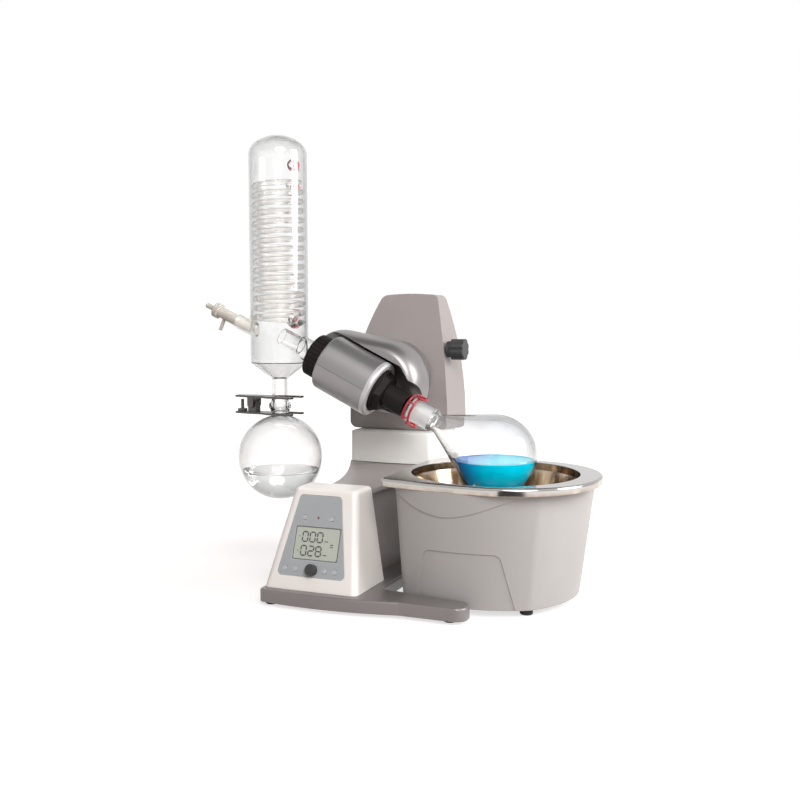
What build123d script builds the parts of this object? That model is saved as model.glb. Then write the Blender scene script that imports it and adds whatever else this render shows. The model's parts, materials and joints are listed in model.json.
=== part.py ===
from build123d import *

import os
from math import atan2, cos, radians, sin, tan

# Rotary evaporator on a bench: a motor-lift stand with a control box, a tilting drive head with
# glassware on both sides, and a heating bath that stands beside the stand.
# Millimetres, +Z up, +X towards the bath, -Y towards the user. While it is drawn, X = 0 and Y = 0
# lie on the tilt axis and the plane of the glassware; the finished set is moved once, at the end,
# so that its origin is the middle of its footprint on the bench.

# Fits and clearances
run_fit = 0.05
body_gap = 0.4
seat_gap = 0.2
wall = 3.5
glass_wall = 2.2

# Base plate and its feet
foot_height = 5.0
foot_radius = 9.0
plate_thickness = 18.0
plate_left = -88.0
plate_right = 72.0
plate_back = 235.0
plate_front = -163.0
bow_depth = 6.0
bow_end_x = 120.0
tongue_end = 212.0
tongue_front = -153.7
tongue_back = -97.0
tongue_end_back = -117.0
tongue_corner = 16.0
plate_corner = 10.0
inner_corner = 14.0
plate_edge = 3.0
plate_top = foot_height + plate_thickness

# Control box: a leaning front with a recessed panel
box_left = -86.0
box_right = 58.0
box_front = -152.0
box_back = -56.0
box_height = 136.0
box_top_left = -61.0
box_top_right = 38.0
box_top_front = -103.8
box_corner = 10.0
box_edge = 7.0
panel_bottom = 19.5
panel_top = 134.5
panel_bottom_left = -68.5
panel_bottom_right = 37.5
panel_top_left = -49.0
panel_top_right = 16.0
panel_corner = 7.0
panel_thickness = 2.0
panel_recess = 2.6
panel_ledge = 3.0
panel_post_radius = 2.5
screen_width = 70.0
screen_height = 47.0
screen_x = -13.0
screen_s = 66.5
board_thickness = 1.6
board_depth = 10.0
button_radius = 3.4
button_travel = 0.8
button_flange = 0.9
upper_row_s = 102.5
lower_row_s = 29.5
button_places = {
    "mode_button": (-37.0, upper_row_s),
    "start_button": (5.0, upper_row_s),
    "lift_up_button": (-56.0, lower_row_s),
    "lift_down_button": (-40.0, lower_row_s),
    "timer_button": (5.0, lower_row_s),
    "set_button": (20.5, lower_row_s),
}
selector_x = -14.0
selector_radius = 8.0
selector_height = 9.0
selector_stem = 3.0

# Pedestal: a saddle that runs forward to the control box, and a pale collar on top of it
pedestal_half = 70.0
pedestal_front = 101.0
pedestal_back = 232.0
collar_bottom = 169.0
collar_top = 218.0
collar_crown = 6.0
collar_corner = 8.0
collar_edge = 2.5
saddle_half = 37.0
saddle_bottom = 147.0
saddle_nose = 154.0
saddle_waist = 9.0
core_inset = 10.0
shaft_well_half = 52.0
shaft_well_front = 124.0
nose_well_half = 18.0

# Lift: mast channel, guide rods, screw and motor
mast_half = 48.0
mast_front = 184.0
mast_back = 218.0
mast_wall = 2.5
mast_top = 404.0
mast_cap = 6.0
rod_radius = 5.0
rod_x = 34.0
lift_y = 201.0
screw_radius = 5.0
lift_stroke = 150.0
lift_motor_radius = 17.5
lift_motor_height = 56.0
coupling_depth = 12.0

# Carriage and tower cover
carriage_bottom = 150.0
bearing_top = 358.0
carriage_half = 44.0
bearing_front = 161.0
bearing_half = 38.0
bearing_bottom = 222.0
ear_bottom = 268.0
bush_wall = 3.0
bush_length = 22.0
nut_radius = 10.0
nut_length = 18.0
ear_thickness = 6.0
tower_bottom = 219.0
tower_top = 436.0
tower_half_bottom = 85.0
tower_half_middle = 73.0
tower_half_top = 48.0
tower_front_bottom = 139.0
tower_front_middle = 153.0
tower_front_top = 194.0
tower_middle_share = 0.604
tower_back = 230.0
tower_crown = 3.0
tower_top_corner = 12.0
back_cover_inset = 16.0
back_cover_depth = 2.0
vent_count = 5
vent_length = 56.0
vent_width = 4.0
vent_pitch = 11.0
vent_bottom = 330.0

# Tilting drive head; places along its axis are measured from the tilt axis towards the flask
tilt_z = 306.0
immersion = 26.0
head_radius = 43.0
head_left = -64.0
head_right = 22.0
head_edge = 4.0
arm_radius = 50.0
arm_front = 4.0
arm_back = 156.0
arm_wall = 4.5
arm_edge = 10.0
hood_reach = 13.0
hood_back = 60.0
tilt_shaft_radius = 15.0
tilt_flange_radius = 26.0
tilt_flange_thickness = 4.0
bezel_length = 8.0
bezel_inner = 34.0
hub_radius = 16.0
hub_left = -46.0
nose_end = 60.0
bearing_radius = 28.0
bearing_width = 11.0
bearing_left = -44.0
bearing_right = 6.0
frame_radius = 39.0
tie_radius = 3.0
tie_circle = 34.0
tie_count = 3
tie_start = 120.0
spigot_radius = 28.5
spigot_bore = 20.0
spigot_end = -78.0
seal_width = 6.0
hub_pulley_radius = 22.0
motor_pulley_radius = 11.0
pulley_left = -22.0
pulley_width = 12.0
pulley_flange = 2.0
belt_thickness = 1.5
belt_width = 8.0
belt_gap = 0.3
motor_y = 80.0
motor_radius = 19.0
motor_left = -5.0
motor_length = 40.0
motor_shaft_radius = 4.0
motor_plate = 3.0

# Union ring, ejector nut and sleeve on the head axis
ring_radius = 33.0
ring_left = -88.0
ring_right = -66.0
ring_lip = 4.0
ring_ribs = 30
ring_rib_depth = 1.0
nut_disc_radius = 31.5
nut_disc = 8.0
nut_hex_radius = 31.0
nut_hex_length = 10.0
nut_taper = 12.0
sleeve_radius = 18.0
ejector_travel = 3.0
ejector_margin = 1.2

# Vapour tube, evaporating flask and its clip
vapour_radius = 11.0
vapour_bore = 9.0
cone_start = 88.0
cone_length = 34.0
cone_big = 14.6
cone_small = 13.0
collar_radius = 15.2
flask_x = 207.3
flask_radius = 59.0
flask_cone = 28.5
socket_wall = 2.6
lip_extra = 1.8
lip_length = 3.5
neck_radius = 14.6
clip_thickness = 1.8
clip_gap_angle = 70.0
clip_ear = 3.6

# Condenser glassware
condenser_x = -140.0
jacket_radius = 44.0
jacket_top = 675.0
dome_rise = 30.0
jacket_dome_corner = 22.0
jacket_bottom = 331.0
cone_bottom = 306.0
drain_radius = 12.0
drain_bore = 9.0
ball_radius = 14.5
ball_z = 268.0
ball_cut = 9.0
arm_tube_radius = 17.0
arm_tube_flange = 24.5
flange_length = 5.0
inner_tube_radius = 13.0
inner_tube_end = -150.0
coil_bottom = 392.0
coil_drop = 42.0
coil_turns = 15
coil_radius = 35.5
coil_tube = 4.4
vacuum_drop = 8.0
stub_radius = 7.0
stub_length = 12.0
cap_radius = 9.5
cap_length = 11.0
cap_sides = 12
nozzle_radius = 4.2
nozzle_length = 26.0
hose_radius = 4.0
nozzle_bore = 2.2
barb_extra = 0.8

# Receiving flask and the ball joint clamp
receiver_radius = 65.5
receiver_z = 185.0
receiver_neck = 13.0
cup_radius = 17.2
cup_top = 269.0
cup_bottom = 254.0
jaw_thickness = 3.0
jaw_half_width = 13.0
fork_half_width = 21.0
jaw_left = -216.0
jaw_right = -110.0
jaw_pivot_x = -186.0
jaw_screw_x = -207.0
pivot_radius = 2.5
pivot_block_half = 7.0
clamp_screw_radius = 2.5
clamp_wheel_radius = 7.5
clamp_wheel_height = 4.0
clamp_wheel_notches = 12
jaw_swing = 6.0

# Feed valve on the left of the condenser
valve_angle = 24.0
valve_start_x = -180.0
valve_start_z = 380.0
valve_socket_radius = 11.0
valve_socket_length = 36.0
valve_plug_radius = 8.6
valve_flange_radius = 11.8
valve_flange_at = 72.0
valve_flange_length = 8.0
valve_length = 98.0
valve_nozzle_at = 60.0
valve_nozzle_radius = 2.8
valve_nozzle_length = 26.0
valve_taper = 1.2

# Tilt lock knob on the right of the tower
knob_y = 166.0
knob_z = 349.0
knob_seat_x = 76.0
knob_end_x = 106.0
knob_radius = 17.0
knob_collar_radius = 13.0
knob_collar_length = 8.0
knob_stem_radius = 4.0
knob_tip_x = 33.0
knob_flutes = 8
knob_flute_radius = 6.0
knob_edge = 1.0

# Heating bath
bath_x = 207.0
pot_radius = 120.0
pot_floor = 60.0
pot_wall = 1.6
pot_low_radius = 98.0
pot_low = 74.0
pot_floor_radius = 84.0
rim_left = 74.0
rim_right = 356.0
rim_front = -130.0
rim_back = 139.0
rim_bow = 20.0
rim_top = 181.0
rim_height = 11.0
rim_edge = 4.0
rim_front_corner = 13.0
rim_back_corner = 62.0
round_end_share = 0.42
housing_bottom = 10.0
housing_wall = 3.0
housing_corner = 24.0
housing_reach = 115.0
housing_low = {
    "front": ((97.0, -84.0), (204.0, -108.0), (281.0, -82.0)),
    "right": ((281.0, -82.0), (322.0, 6.0), (304.0, 92.0)),
    "back": ((304.0, 92.0), (204.0, 108.0), (104.0, 92.0)),
    "left": ((104.0, 92.0), (93.0, 4.0), (97.0, -84.0)),
}
housing_high = {
    "front": ((94.0, -102.0), (206.0, -127.0), (297.0, -95.0)),
    "right": ((297.0, -95.0), (342.0, 6.0), (322.0, 106.0)),
    "back": ((322.0, 106.0), (206.0, 134.0), (97.0, 106.0)),
    "left": ((97.0, 106.0), (78.5, 2.0), (94.0, -102.0)),
}
apron_proud = 1.2
apron_line = ((94.0, 166.0), (153.0, 138.0), (173.0, 136.0), (205.0, 141.0), (256.0, 159.0), (300.0, 169.5))
arch_low_left = 124.0
arch_left = 141.0
arch_right = 246.0
arch_low_right = 266.0
arch_top = 88.0
arch_corner = 12.0
arch_depth = 1.2
bath_foot_radius = 9.0
bath_foot_pitch = 130.0
bath_base_thickness = 4.0
heater_radius = 82.0
heater_tube = 5.0
heater_posts = 4
heater_post_turn = 45.0

# Mains inlet and switch on the back of the pedestal
inlet_x = 33.0
inlet_z = 62.0
inlet_width = 30.0
inlet_height = 24.0
inlet_depth = 13.0
inlet_proud = 2.0
inlet_pocket = 3.0
switch_x = -22.0
switch_width = 14.0
switch_height = 22.0
switch_proud = 2.5
switch_swing = 8.0

# Worked-out planes and places
tower_middle = tower_bottom + tower_middle_share * (tower_top - tower_bottom)
jacket_shoulder = jacket_top - dome_rise
coil_top = jacket_shoulder - coil_drop
hose_heights = (coil_bottom, coil_top, jacket_shoulder - vacuum_drop)
near = 1.0
half_arc = 1 - cos(radians(45))
button_proud = button_travel + seat_gap
block_top = mast_top - lift_stroke - body_gap
bearing_back = mast_front - body_gap
clip_left = cone_start - lip_length - clip_thickness
sleeve_end = clip_left - ejector_travel - ejector_margin
lean = atan2(box_top_front - box_front, box_height)
face_plane = Plane(
    origin=(0, box_front, plate_top), x_dir=(1, 0, 0), z_dir=(0, -cos(lean), sin(lean))
)
axis_dir = Vector(cos(radians(immersion)), 0, -sin(radians(immersion)))
head_profile = Plane(origin=(0, 0, tilt_z), x_dir=axis_dir, z_dir=(0, -1, 0))
head_axis = Axis((0, 0, tilt_z), axis_dir)
upright_profile = Plane(origin=(condenser_x, 0, 0), x_dir=(1, 0, 0), z_dir=(0, -1, 0))
upright_axis = Axis((condenser_x, 0, 0), (0, 0, 1))
valve_dir = Vector(-cos(radians(valve_angle)), 0, sin(radians(valve_angle)))
valve_origin = Vector(valve_start_x, 0, valve_start_z)
valve_profile = Plane(origin=valve_origin, x_dir=valve_dir, z_dir=(0, -1, 0))
valve_axis = Axis(valve_origin, valve_dir)
knob_profile = Plane(origin=(0, knob_y, knob_z), x_dir=(1, 0, 0), z_dir=(0, -1, 0))
knob_axis = Axis((0, knob_y, knob_z), (1, 0, 0))


def across_head(at):
    """Plane square to the head axis, with its normal towards the flask and its x along +Y."""
    return Plane(origin=head_axis.position + axis_dir * at, x_dir=(0, 1, 0), z_dir=axis_dir)


def ring_profile(inner, outer, start, end):
    """Rectangle of a turned ring: along x from start to end, from the inner to the outer radius."""
    with Locations(((start + end) / 2, (inner + outer) / 2)):
        Rectangle(end - start, outer - inner)


# Base plate: bowed front under the control box and a tongue to the right in front of the bath
with BuildPart() as base_plate:
    with BuildSketch(Plane.XY.offset(foot_height)):
        with BuildLine():
            bow_middle = ((plate_left + bow_end_x) / 2, plate_front - bow_depth)
            bow = ThreePointArc((plate_left, plate_front), bow_middle, (bow_end_x, tongue_front))
            Polyline(
                bow @ 1,
                (tongue_end, tongue_front),
                (tongue_end, tongue_end_back),
                (plate_right, tongue_back),
                (plate_right, plate_back),
                (plate_left, plate_back),
                bow @ 0,
            )
        make_face()
    extrude(amount=plate_thickness)
    uprights = base_plate.edges().filter_by(Axis.Z)
    fillet(uprights.filter_by_position(Axis.X, tongue_end - near, tongue_end + near), tongue_corner)
    ends = base_plate.edges().filter_by(Axis.Z)
    fillet(ends.filter_by_position(Axis.X, plate_left - near, plate_left + near), plate_corner)
    notch = base_plate.edges().filter_by(Axis.Z)
    notch = notch.filter_by_position(Axis.Y, tongue_back - near, tongue_back + near)
    fillet(notch.filter_by_position(Axis.X, plate_right - near, plate_right + near), inner_corner)
    fillet(base_plate.faces().sort_by(Axis.Z)[-1].edges(), plate_edge)
base_plate.part.label = "base_plate"

foot_margin = foot_radius + plate_corner / 2
foot_places = [
    (plate_left + foot_margin, plate_front + foot_margin),
    (tongue_end - tongue_corner - foot_radius, (tongue_front + tongue_end_back) / 2),
    (plate_left + foot_margin, plate_back - foot_margin),
    (plate_right - foot_margin, plate_back - foot_margin),
]
with BuildPart() as base_feet:
    with BuildSketch(Plane.XY):
        with Locations(foot_places):
            Circle(foot_radius)
    extrude(amount=foot_height)
    chamfer(base_feet.edges().group_by(Axis.Z)[0], foot_height / 4)
base_feet.part.label = "base_feet"


# Control box: lofted between its footprint and its smaller top
def box_section(inset, height):
    """Plan of the control box at a height above the plate, drawn in by an inset."""
    share = height / box_height
    left = box_left + (box_top_left - box_left) * share + inset
    right = box_right + (box_top_right - box_right) * share - inset
    front = box_front + (box_top_front - box_front) * share + inset
    back = box_back - inset
    Polygon((left, front), (right, front), (right, back), (left, back), align=None)


def panel_outline(margin):
    """Outline of the control panel on the leaning face, grown by a margin."""
    Polygon(
        (panel_bottom_left - margin, panel_bottom - margin),
        (panel_bottom_right + margin, panel_bottom - margin),
        (panel_top_right + margin, panel_top + margin),
        (panel_top_left - margin, panel_top + margin),
        align=None,
    )


with BuildPart() as control_housing:
    for level in (0, box_height):
        with BuildSketch(Plane.XY.offset(plate_top + level)):
            box_section(0, level)
    loft(ruled=True)
    middle = plate_top + box_height / 2
    rising = control_housing.edges().filter_by_position(Axis.Z, middle - near, middle + near)
    fillet(rising.sort_by(Axis.Y)[:2], box_corner)
    fillet(control_housing.faces().sort_by(Axis.Z)[-1].edges().sort_by(Axis.Y)[:-1], box_edge)
    for level in (0, box_height - wall):
        with BuildSketch(Plane.XY.offset(plate_top + level)):
            box_section(wall + box_corner / 4, level)
    loft(ruled=True, mode=Mode.SUBTRACT)
    with BuildSketch(face_plane.offset(-panel_recess)) as recess_sketch:
        panel_outline(seat_gap)
        fillet(recess_sketch.vertices(), panel_corner)
    extrude(amount=panel_recess * 2, mode=Mode.SUBTRACT)
    with BuildSketch(face_plane.offset(-board_depth - 2 * wall)) as window_sketch:
        panel_outline(-panel_ledge)
        fillet(window_sketch.vertices(), panel_corner)
    extrude(amount=board_depth + 2 * wall, mode=Mode.SUBTRACT)
control_housing.part.label = "control_housing"

panel_back = -panel_recess
panel_front = panel_back + panel_thickness
board_front = panel_front - board_depth


def panel_edges(along):
    """Left and right edge of the panel at a place up its slope."""
    share = (along - panel_bottom) / (panel_top - panel_bottom)
    left = panel_bottom_left + (panel_top_left - panel_bottom_left) * share
    right = panel_bottom_right + (panel_top_right - panel_bottom_right) * share
    return left, right


post_places = []
for post_s in (lower_row_s + 5 * panel_ledge, panel_top - 5 * panel_ledge):
    left_edge, right_edge = panel_edges(post_s)
    post_places.append((left_edge + 2 * panel_ledge, post_s))
    post_places.append((right_edge - 2 * panel_ledge, post_s))

with BuildPart() as control_panel:
    with BuildSketch(face_plane.offset(panel_back)) as panel_sketch:
        panel_outline(0)
        fillet(panel_sketch.vertices(), panel_corner)
    extrude(amount=panel_thickness)
    with BuildSketch(face_plane.offset(board_front)):
        with Locations(post_places):
            Circle(panel_post_radius)
    extrude(amount=panel_back - board_front)
    with BuildSketch(face_plane.offset(panel_back)):
        with Locations((screen_x, screen_s)):
            RectangleRounded(screen_width + seat_gap, screen_height + seat_gap, panel_corner / 3)
        with Locations(list(button_places.values())):
            Circle(button_radius + body_gap)
        with Locations((selector_x, lower_row_s)):
            Circle(selector_stem + run_fit)
    extrude(amount=panel_thickness, mode=Mode.SUBTRACT)
control_panel.part.label = "control_panel"

with BuildPart() as display_screen:
    with BuildSketch(face_plane.offset(panel_front - seat_gap)):
        with Locations((screen_x, screen_s)):
            RectangleRounded(screen_width, screen_height, panel_corner / 3)
    extrude(amount=-(panel_thickness - seat_gap))
display_screen.part.label = "display_screen"

with BuildPart() as control_board:
    with BuildSketch(face_plane.offset(board_front)):
        panel_outline(-panel_ledge * 1.5)
    extrude(amount=-board_thickness)
control_board.part.label = "control_board"

# Round push buttons, each with a flange behind the panel that keeps it in
buttons = []
for button_name, button_place in button_places.items():
    with BuildPart() as button:
        with BuildSketch(face_plane.offset(panel_front + button_proud)):
            with Locations(button_place):
                Circle(button_radius)
        extrude(amount=-(button_proud + panel_thickness + body_gap))
        with BuildSketch(face_plane.offset(panel_back - body_gap)):
            with Locations(button_place):
                Circle(button_radius + 2 * body_gap)
        extrude(amount=-button_flange)
        fillet(button.edges().sort_by(Axis.Y)[:1], button_proud / 3)
    button.part.label = button_name
    buttons.append(button)

with BuildPart() as selector_knob:
    with BuildSketch(face_plane.offset(panel_front + body_gap)):
        with Locations((selector_x, lower_row_s)):
            Circle(selector_radius)
    extrude(amount=selector_height)
    fillet(selector_knob.edges().sort_by(Axis.Y)[:1], selector_radius / 5)
    with BuildSketch(face_plane.offset(board_front + body_gap)):
        with Locations((selector_x, lower_row_s)):
            Circle(selector_stem)
    extrude(amount=panel_front - board_front)
selector_knob.part.label = "selector_knob"


# Pedestal: the saddle narrows forward to the control box above a drawn-in core
def saddle_plan(inset, height):
    """Plan of the saddle at a height, drawn in by an inset; its waist curves in on both sides."""
    half = pedestal_half - inset
    nose = saddle_half - inset
    back = pedestal_back - inset
    shoulder = pedestal_front + collar_crown
    waist_y = (shoulder + box_back) / 2
    waist = (half + nose) / 2 - saddle_waist
    with BuildSketch(Plane.XY.offset(height)) as plan:
        with BuildLine():
            ThreePointArc((half, shoulder), (waist, waist_y), (nose, box_back))
            Line((nose, box_back), (-nose, box_back))
            ThreePointArc((-nose, box_back), (-waist, waist_y), (-half, shoulder))
            Polyline((-half, shoulder), (-half, back), (half, back), (half, shoulder))
        make_face()
    return plan.sketch


with BuildPart() as pedestal_body:
    extrude(saddle_plan(0, saddle_bottom), amount=collar_bottom - saddle_bottom)
    with BuildSketch(Plane.YZ.offset(-pedestal_half)):
        with BuildLine():
            slope = ThreePointArc(
                (pedestal_front + collar_crown, collar_bottom),
                (pedestal_front / 2, (collar_bottom + saddle_nose) / 2 - collar_edge),
                (box_back, saddle_nose),
            )
            Polyline(slope @ 1, (box_back, collar_top), (slope.start_point().X, collar_top), slope @ 0)
        make_face()
    extrude(amount=2 * pedestal_half, mode=Mode.SUBTRACT)
    extrude(saddle_plan(core_inset, plate_top), amount=saddle_bottom - plate_top)
    with BuildSketch(Plane.XY.offset(plate_top)):
        well_back = pedestal_back - core_inset - wall
        with Locations((0, (shaft_well_front + well_back) / 2)):
            RectangleRounded(2 * shaft_well_half, well_back - shaft_well_front, plate_corner / 2)
    extrude(amount=collar_bottom - plate_top, mode=Mode.SUBTRACT)
    with BuildSketch(Plane.XY.offset(plate_top)):
        nose_back = shaft_well_front - wall
        nose_front = box_back + wall
        with Locations((0, (nose_front + nose_back) / 2)):
            RectangleRounded(2 * nose_well_half, nose_back - nose_front, plate_corner / 2)
    extrude(amount=saddle_bottom - wall - plate_top, mode=Mode.SUBTRACT)
    with BuildSketch(Plane.XZ.offset(-pedestal_back)):
        with Locations((inlet_x, inlet_z)):
            Rectangle(inlet_width - 2 * inlet_pocket + seat_gap, inlet_height - 2 * inlet_pocket + seat_gap)
        with Locations((switch_x, inlet_z)):
            Rectangle(switch_width + 2 * body_gap, switch_height + 2 * body_gap)
    extrude(amount=core_inset + 2 * wall, mode=Mode.SUBTRACT)
pedestal_body.part.label = "pedestal_body"

with BuildPart() as pedestal_collar:
    with BuildSketch(Plane.XY.offset(collar_bottom)):
        with BuildLine():
            corner_y = pedestal_front + collar_crown
            ThreePointArc((-pedestal_half, corner_y), (0, pedestal_front), (pedestal_half, corner_y))
            Polyline(
                (pedestal_half, corner_y),
                (pedestal_half, pedestal_back),
                (-pedestal_half, pedestal_back),
                (-pedestal_half, corner_y),
            )
        make_face()
    extrude(amount=collar_top - collar_bottom)
    fillet(pedestal_collar.edges().filter_by(Axis.Z), collar_corner)
    fillet(pedestal_collar.faces().sort_by(Axis.Z)[-1].edges(), collar_edge)
    with BuildSketch(Plane.XY.offset(collar_bottom)):
        hollow_front = pedestal_front + collar_crown + 2 * wall
        hollow_back = pedestal_back - wall
        with Locations((0, (hollow_front + hollow_back) / 2)):
            RectangleRounded(2 * (pedestal_half - wall), hollow_back - hollow_front, collar_corner - wall)
    extrude(amount=collar_top - collar_bottom - wall, mode=Mode.SUBTRACT)
    with BuildSketch(Plane.XY.offset(collar_bottom)):
        slot_front = mast_front - body_gap
        slot_back = mast_back + body_gap
        with Locations((0, (slot_front + slot_back) / 2)):
            Rectangle(2 * (mast_half + body_gap), slot_back - slot_front)
    extrude(amount=collar_top - collar_bottom, mode=Mode.SUBTRACT)
pedestal_collar.part.label = "pedestal_collar"

# Mast: a channel open to the front, closed on top by the plate that holds rods and screw
with BuildPart() as mast:
    with BuildSketch(Plane.XY.offset(plate_top)):
        with Locations((0, (mast_front + mast_back) / 2)):
            Rectangle(2 * mast_half, mast_back - mast_front)
        with Locations((0, (mast_front + mast_back) / 2 - mast_wall)):
            Rectangle(2 * (mast_half - mast_wall), mast_back - mast_front, mode=Mode.SUBTRACT)
    extrude(amount=mast_top - plate_top)
    with BuildSketch(Plane.XY.offset(mast_top)):
        with Locations((0, (mast_front + mast_back) / 2)):
            Rectangle(2 * mast_half, mast_back - mast_front)
        with Locations((0, lift_y)):
            Circle(screw_radius + run_fit, mode=Mode.SUBTRACT)
        with Locations((rod_x, lift_y), (-rod_x, lift_y)):
            Circle(rod_radius + run_fit, mode=Mode.SUBTRACT)
    extrude(amount=mast_cap)
    with BuildSketch(Plane.XZ.offset(-mast_back)):
        with Locations((inlet_x, inlet_z)):
            Rectangle(inlet_width - inlet_pocket, inlet_height - inlet_pocket)
    extrude(amount=mast_wall, mode=Mode.SUBTRACT)
mast.part.label = "mast"

with BuildPart() as guide_rods:
    with BuildSketch(Plane.XY.offset(plate_top)):
        with Locations((rod_x, lift_y), (-rod_x, lift_y)):
            Circle(rod_radius)
    extrude(amount=mast_top + mast_cap - plate_top)
guide_rods.part.label = "guide_rods"

motor_top = plate_top + lift_motor_height
with BuildPart() as lift_motor:
    with BuildSketch(Plane.XY.offset(plate_top)):
        with Locations((0, lift_y - lift_motor_radius + nut_radius)):
            Circle(lift_motor_radius)
    extrude(amount=lift_motor_height)
    with BuildSketch(Plane.XY.offset(motor_top - coupling_depth)):
        with Locations((0, lift_y)):
            Circle(screw_radius + run_fit)
    extrude(amount=coupling_depth, mode=Mode.SUBTRACT)
    fillet(lift_motor.edges().group_by(Axis.Z)[0], collar_edge)
lift_motor.part.label = "lift_motor"

with BuildPart() as lift_screw:
    with BuildSketch(Plane.XY.offset(motor_top - coupling_depth + body_gap)):
        with Locations((0, lift_y)):
            Circle(screw_radius)
    extrude(amount=mast_top + mast_cap - motor_top + coupling_depth - body_gap)
lift_screw.part.label = "lift_screw"

# Tower: the meeting of a front outline and a side outline, both bulging outwards
def tower_front_outline(inset, at_y, bottom):
    """Front view of the tower on an upright plane at Y, drawn in by an inset."""
    foot = tower_half_bottom - inset
    middle = tower_half_middle - inset
    crown = tower_half_top - inset
    top = tower_top - inset
    with BuildSketch(Plane.XZ.offset(-at_y)) as outline:
        with BuildLine():
            ThreePointArc((foot, bottom), (middle, tower_middle), (crown, top))
            ThreePointArc((crown, top), (0, top + tower_crown), (-crown, top))
            ThreePointArc((-crown, top), (-middle, tower_middle), (-foot, bottom))
            Line((-foot, bottom), (foot, bottom))
        make_face()
        upper = outline.vertices().group_by(Axis.Z)[-1]
        fillet(upper, tower_top_corner)
    return outline.sketch


def tower_side_outline(inset):
    """Side view of the tower, drawn in by an inset; its back is upright."""
    top = tower_top + tower_crown
    back = tower_back - inset
    with BuildSketch(Plane.YZ.offset(-tower_half_bottom)) as outline:
        with BuildLine():
            bulge = ThreePointArc(
                (tower_front_bottom + inset, tower_bottom),
                (tower_front_middle + inset, tower_middle),
                (tower_front_top + inset, top),
            )
            Polyline(bulge @ 1, (back, top), (back, tower_bottom), bulge @ 0)
        make_face()
    return outline.sketch


def tower_form(inset):
    """Solid shape of the tower, drawn in by an inset."""
    depth = tower_back - tower_front_bottom
    with BuildPart() as form:
        extrude(tower_front_outline(inset, tower_front_bottom, tower_bottom), amount=-depth)
        extrude(tower_side_outline(inset), amount=2 * tower_half_bottom, mode=Mode.INTERSECT)
    return form.part


# Carriage: slides on the rods and holds the bearing of the tilt shaft
with BuildPart() as carriage_ears:
    with BuildSketch(Plane.XY.offset(ear_bottom)):
        with Locations((0, (tower_front_bottom + bearing_back) / 2)):
            Rectangle(2 * tower_half_bottom, bearing_back - tower_front_bottom)
    extrude(amount=ear_thickness)
    add(tower_form(wall + seat_gap), mode=Mode.INTERSECT)
    with BuildSketch(Plane.XZ.offset(-tower_front_bottom)):
        with Locations((0, tilt_z)):
            Circle(arm_radius + 2 * body_gap)
    extrude(amount=-(bearing_front - tower_front_bottom), mode=Mode.SUBTRACT)

with BuildPart() as carriage_block:
    add(carriage_ears.part)
    with BuildSketch(Plane.XY.offset(carriage_bottom)):
        block_front = mast_front + mast_wall
        block_back = mast_back - mast_wall - body_gap
        with Locations((0, (block_front + block_back) / 2)):
            Rectangle(2 * carriage_half, block_back - block_front)
    extrude(amount=block_top - carriage_bottom)
    with BuildSketch(Plane.XY.offset(bearing_bottom)):
        with Locations((0, (bearing_front + block_front) / 2)):
            Rectangle(2 * bearing_half, block_front - bearing_front)
    extrude(amount=block_top - bearing_bottom)
    with BuildSketch(Plane.XY.offset(bearing_bottom)):
        with Locations((0, (bearing_front + bearing_back) / 2)):
            Rectangle(2 * bearing_half, bearing_back - bearing_front)
    extrude(amount=bearing_top - bearing_bottom)
    with BuildSketch(Plane.XY.offset(carriage_bottom)):
        with Locations((rod_x, lift_y), (-rod_x, lift_y)):
            Circle(rod_radius + bush_wall + run_fit)
        with Locations((0, lift_y)):
            Circle(nut_radius + run_fit)
    extrude(amount=block_top - carriage_bottom, mode=Mode.SUBTRACT)
    with BuildSketch(Plane.XZ.offset(-bearing_front)):
        with Locations((0, tilt_z)):
            Circle(tilt_shaft_radius + run_fit)
    extrude(amount=-(bearing_back - bearing_front), mode=Mode.SUBTRACT)
    with BuildSketch(Plane.YZ.offset(knob_tip_x - body_gap)):
        with Locations((knob_y, knob_z)):
            Circle(knob_stem_radius + run_fit)
    extrude(amount=bearing_half, mode=Mode.SUBTRACT)
carriage_block.part.label = "carriage_block"

with BuildPart() as guide_bushes:
    for bush_z in (carriage_bottom, block_top - bush_length):
        with BuildSketch(Plane.XY.offset(bush_z)):
            with Locations((rod_x, lift_y), (-rod_x, lift_y)):
                Circle(rod_radius + bush_wall)
                Circle(rod_radius + run_fit, mode=Mode.SUBTRACT)
        extrude(amount=bush_length)
guide_bushes.part.label = "guide_bushes"

with BuildPart() as lift_nut:
    with BuildSketch(Plane.XY.offset(carriage_bottom)):
        with Locations((0, lift_y)):
            Circle(nut_radius)
            Circle(screw_radius + run_fit, mode=Mode.SUBTRACT)
    extrude(amount=nut_length)
lift_nut.part.label = "lift_nut"


with BuildPart() as tower_cover:
    add(tower_form(0))
    add(tower_form(wall), mode=Mode.SUBTRACT)
    with BuildSketch(Plane.XZ.offset(-tower_front_bottom)):
        with Locations((0, tilt_z)):
            Circle(arm_radius + body_gap)
    extrude(amount=-(bearing_front - tower_front_bottom), mode=Mode.SUBTRACT)
    with BuildSketch(Plane.YZ.offset(tower_half_middle - 2 * wall)):
        with Locations((knob_y, knob_z)):
            Circle(knob_stem_radius + run_fit)
    extrude(amount=4 * wall, mode=Mode.SUBTRACT)
    cover_bottom = tower_bottom + back_cover_inset
    extrude(
        tower_front_outline(back_cover_inset, tower_back, cover_bottom),
        amount=back_cover_depth,
        mode=Mode.SUBTRACT,
    )
tower_cover.part.label = "tower_cover"

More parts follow.
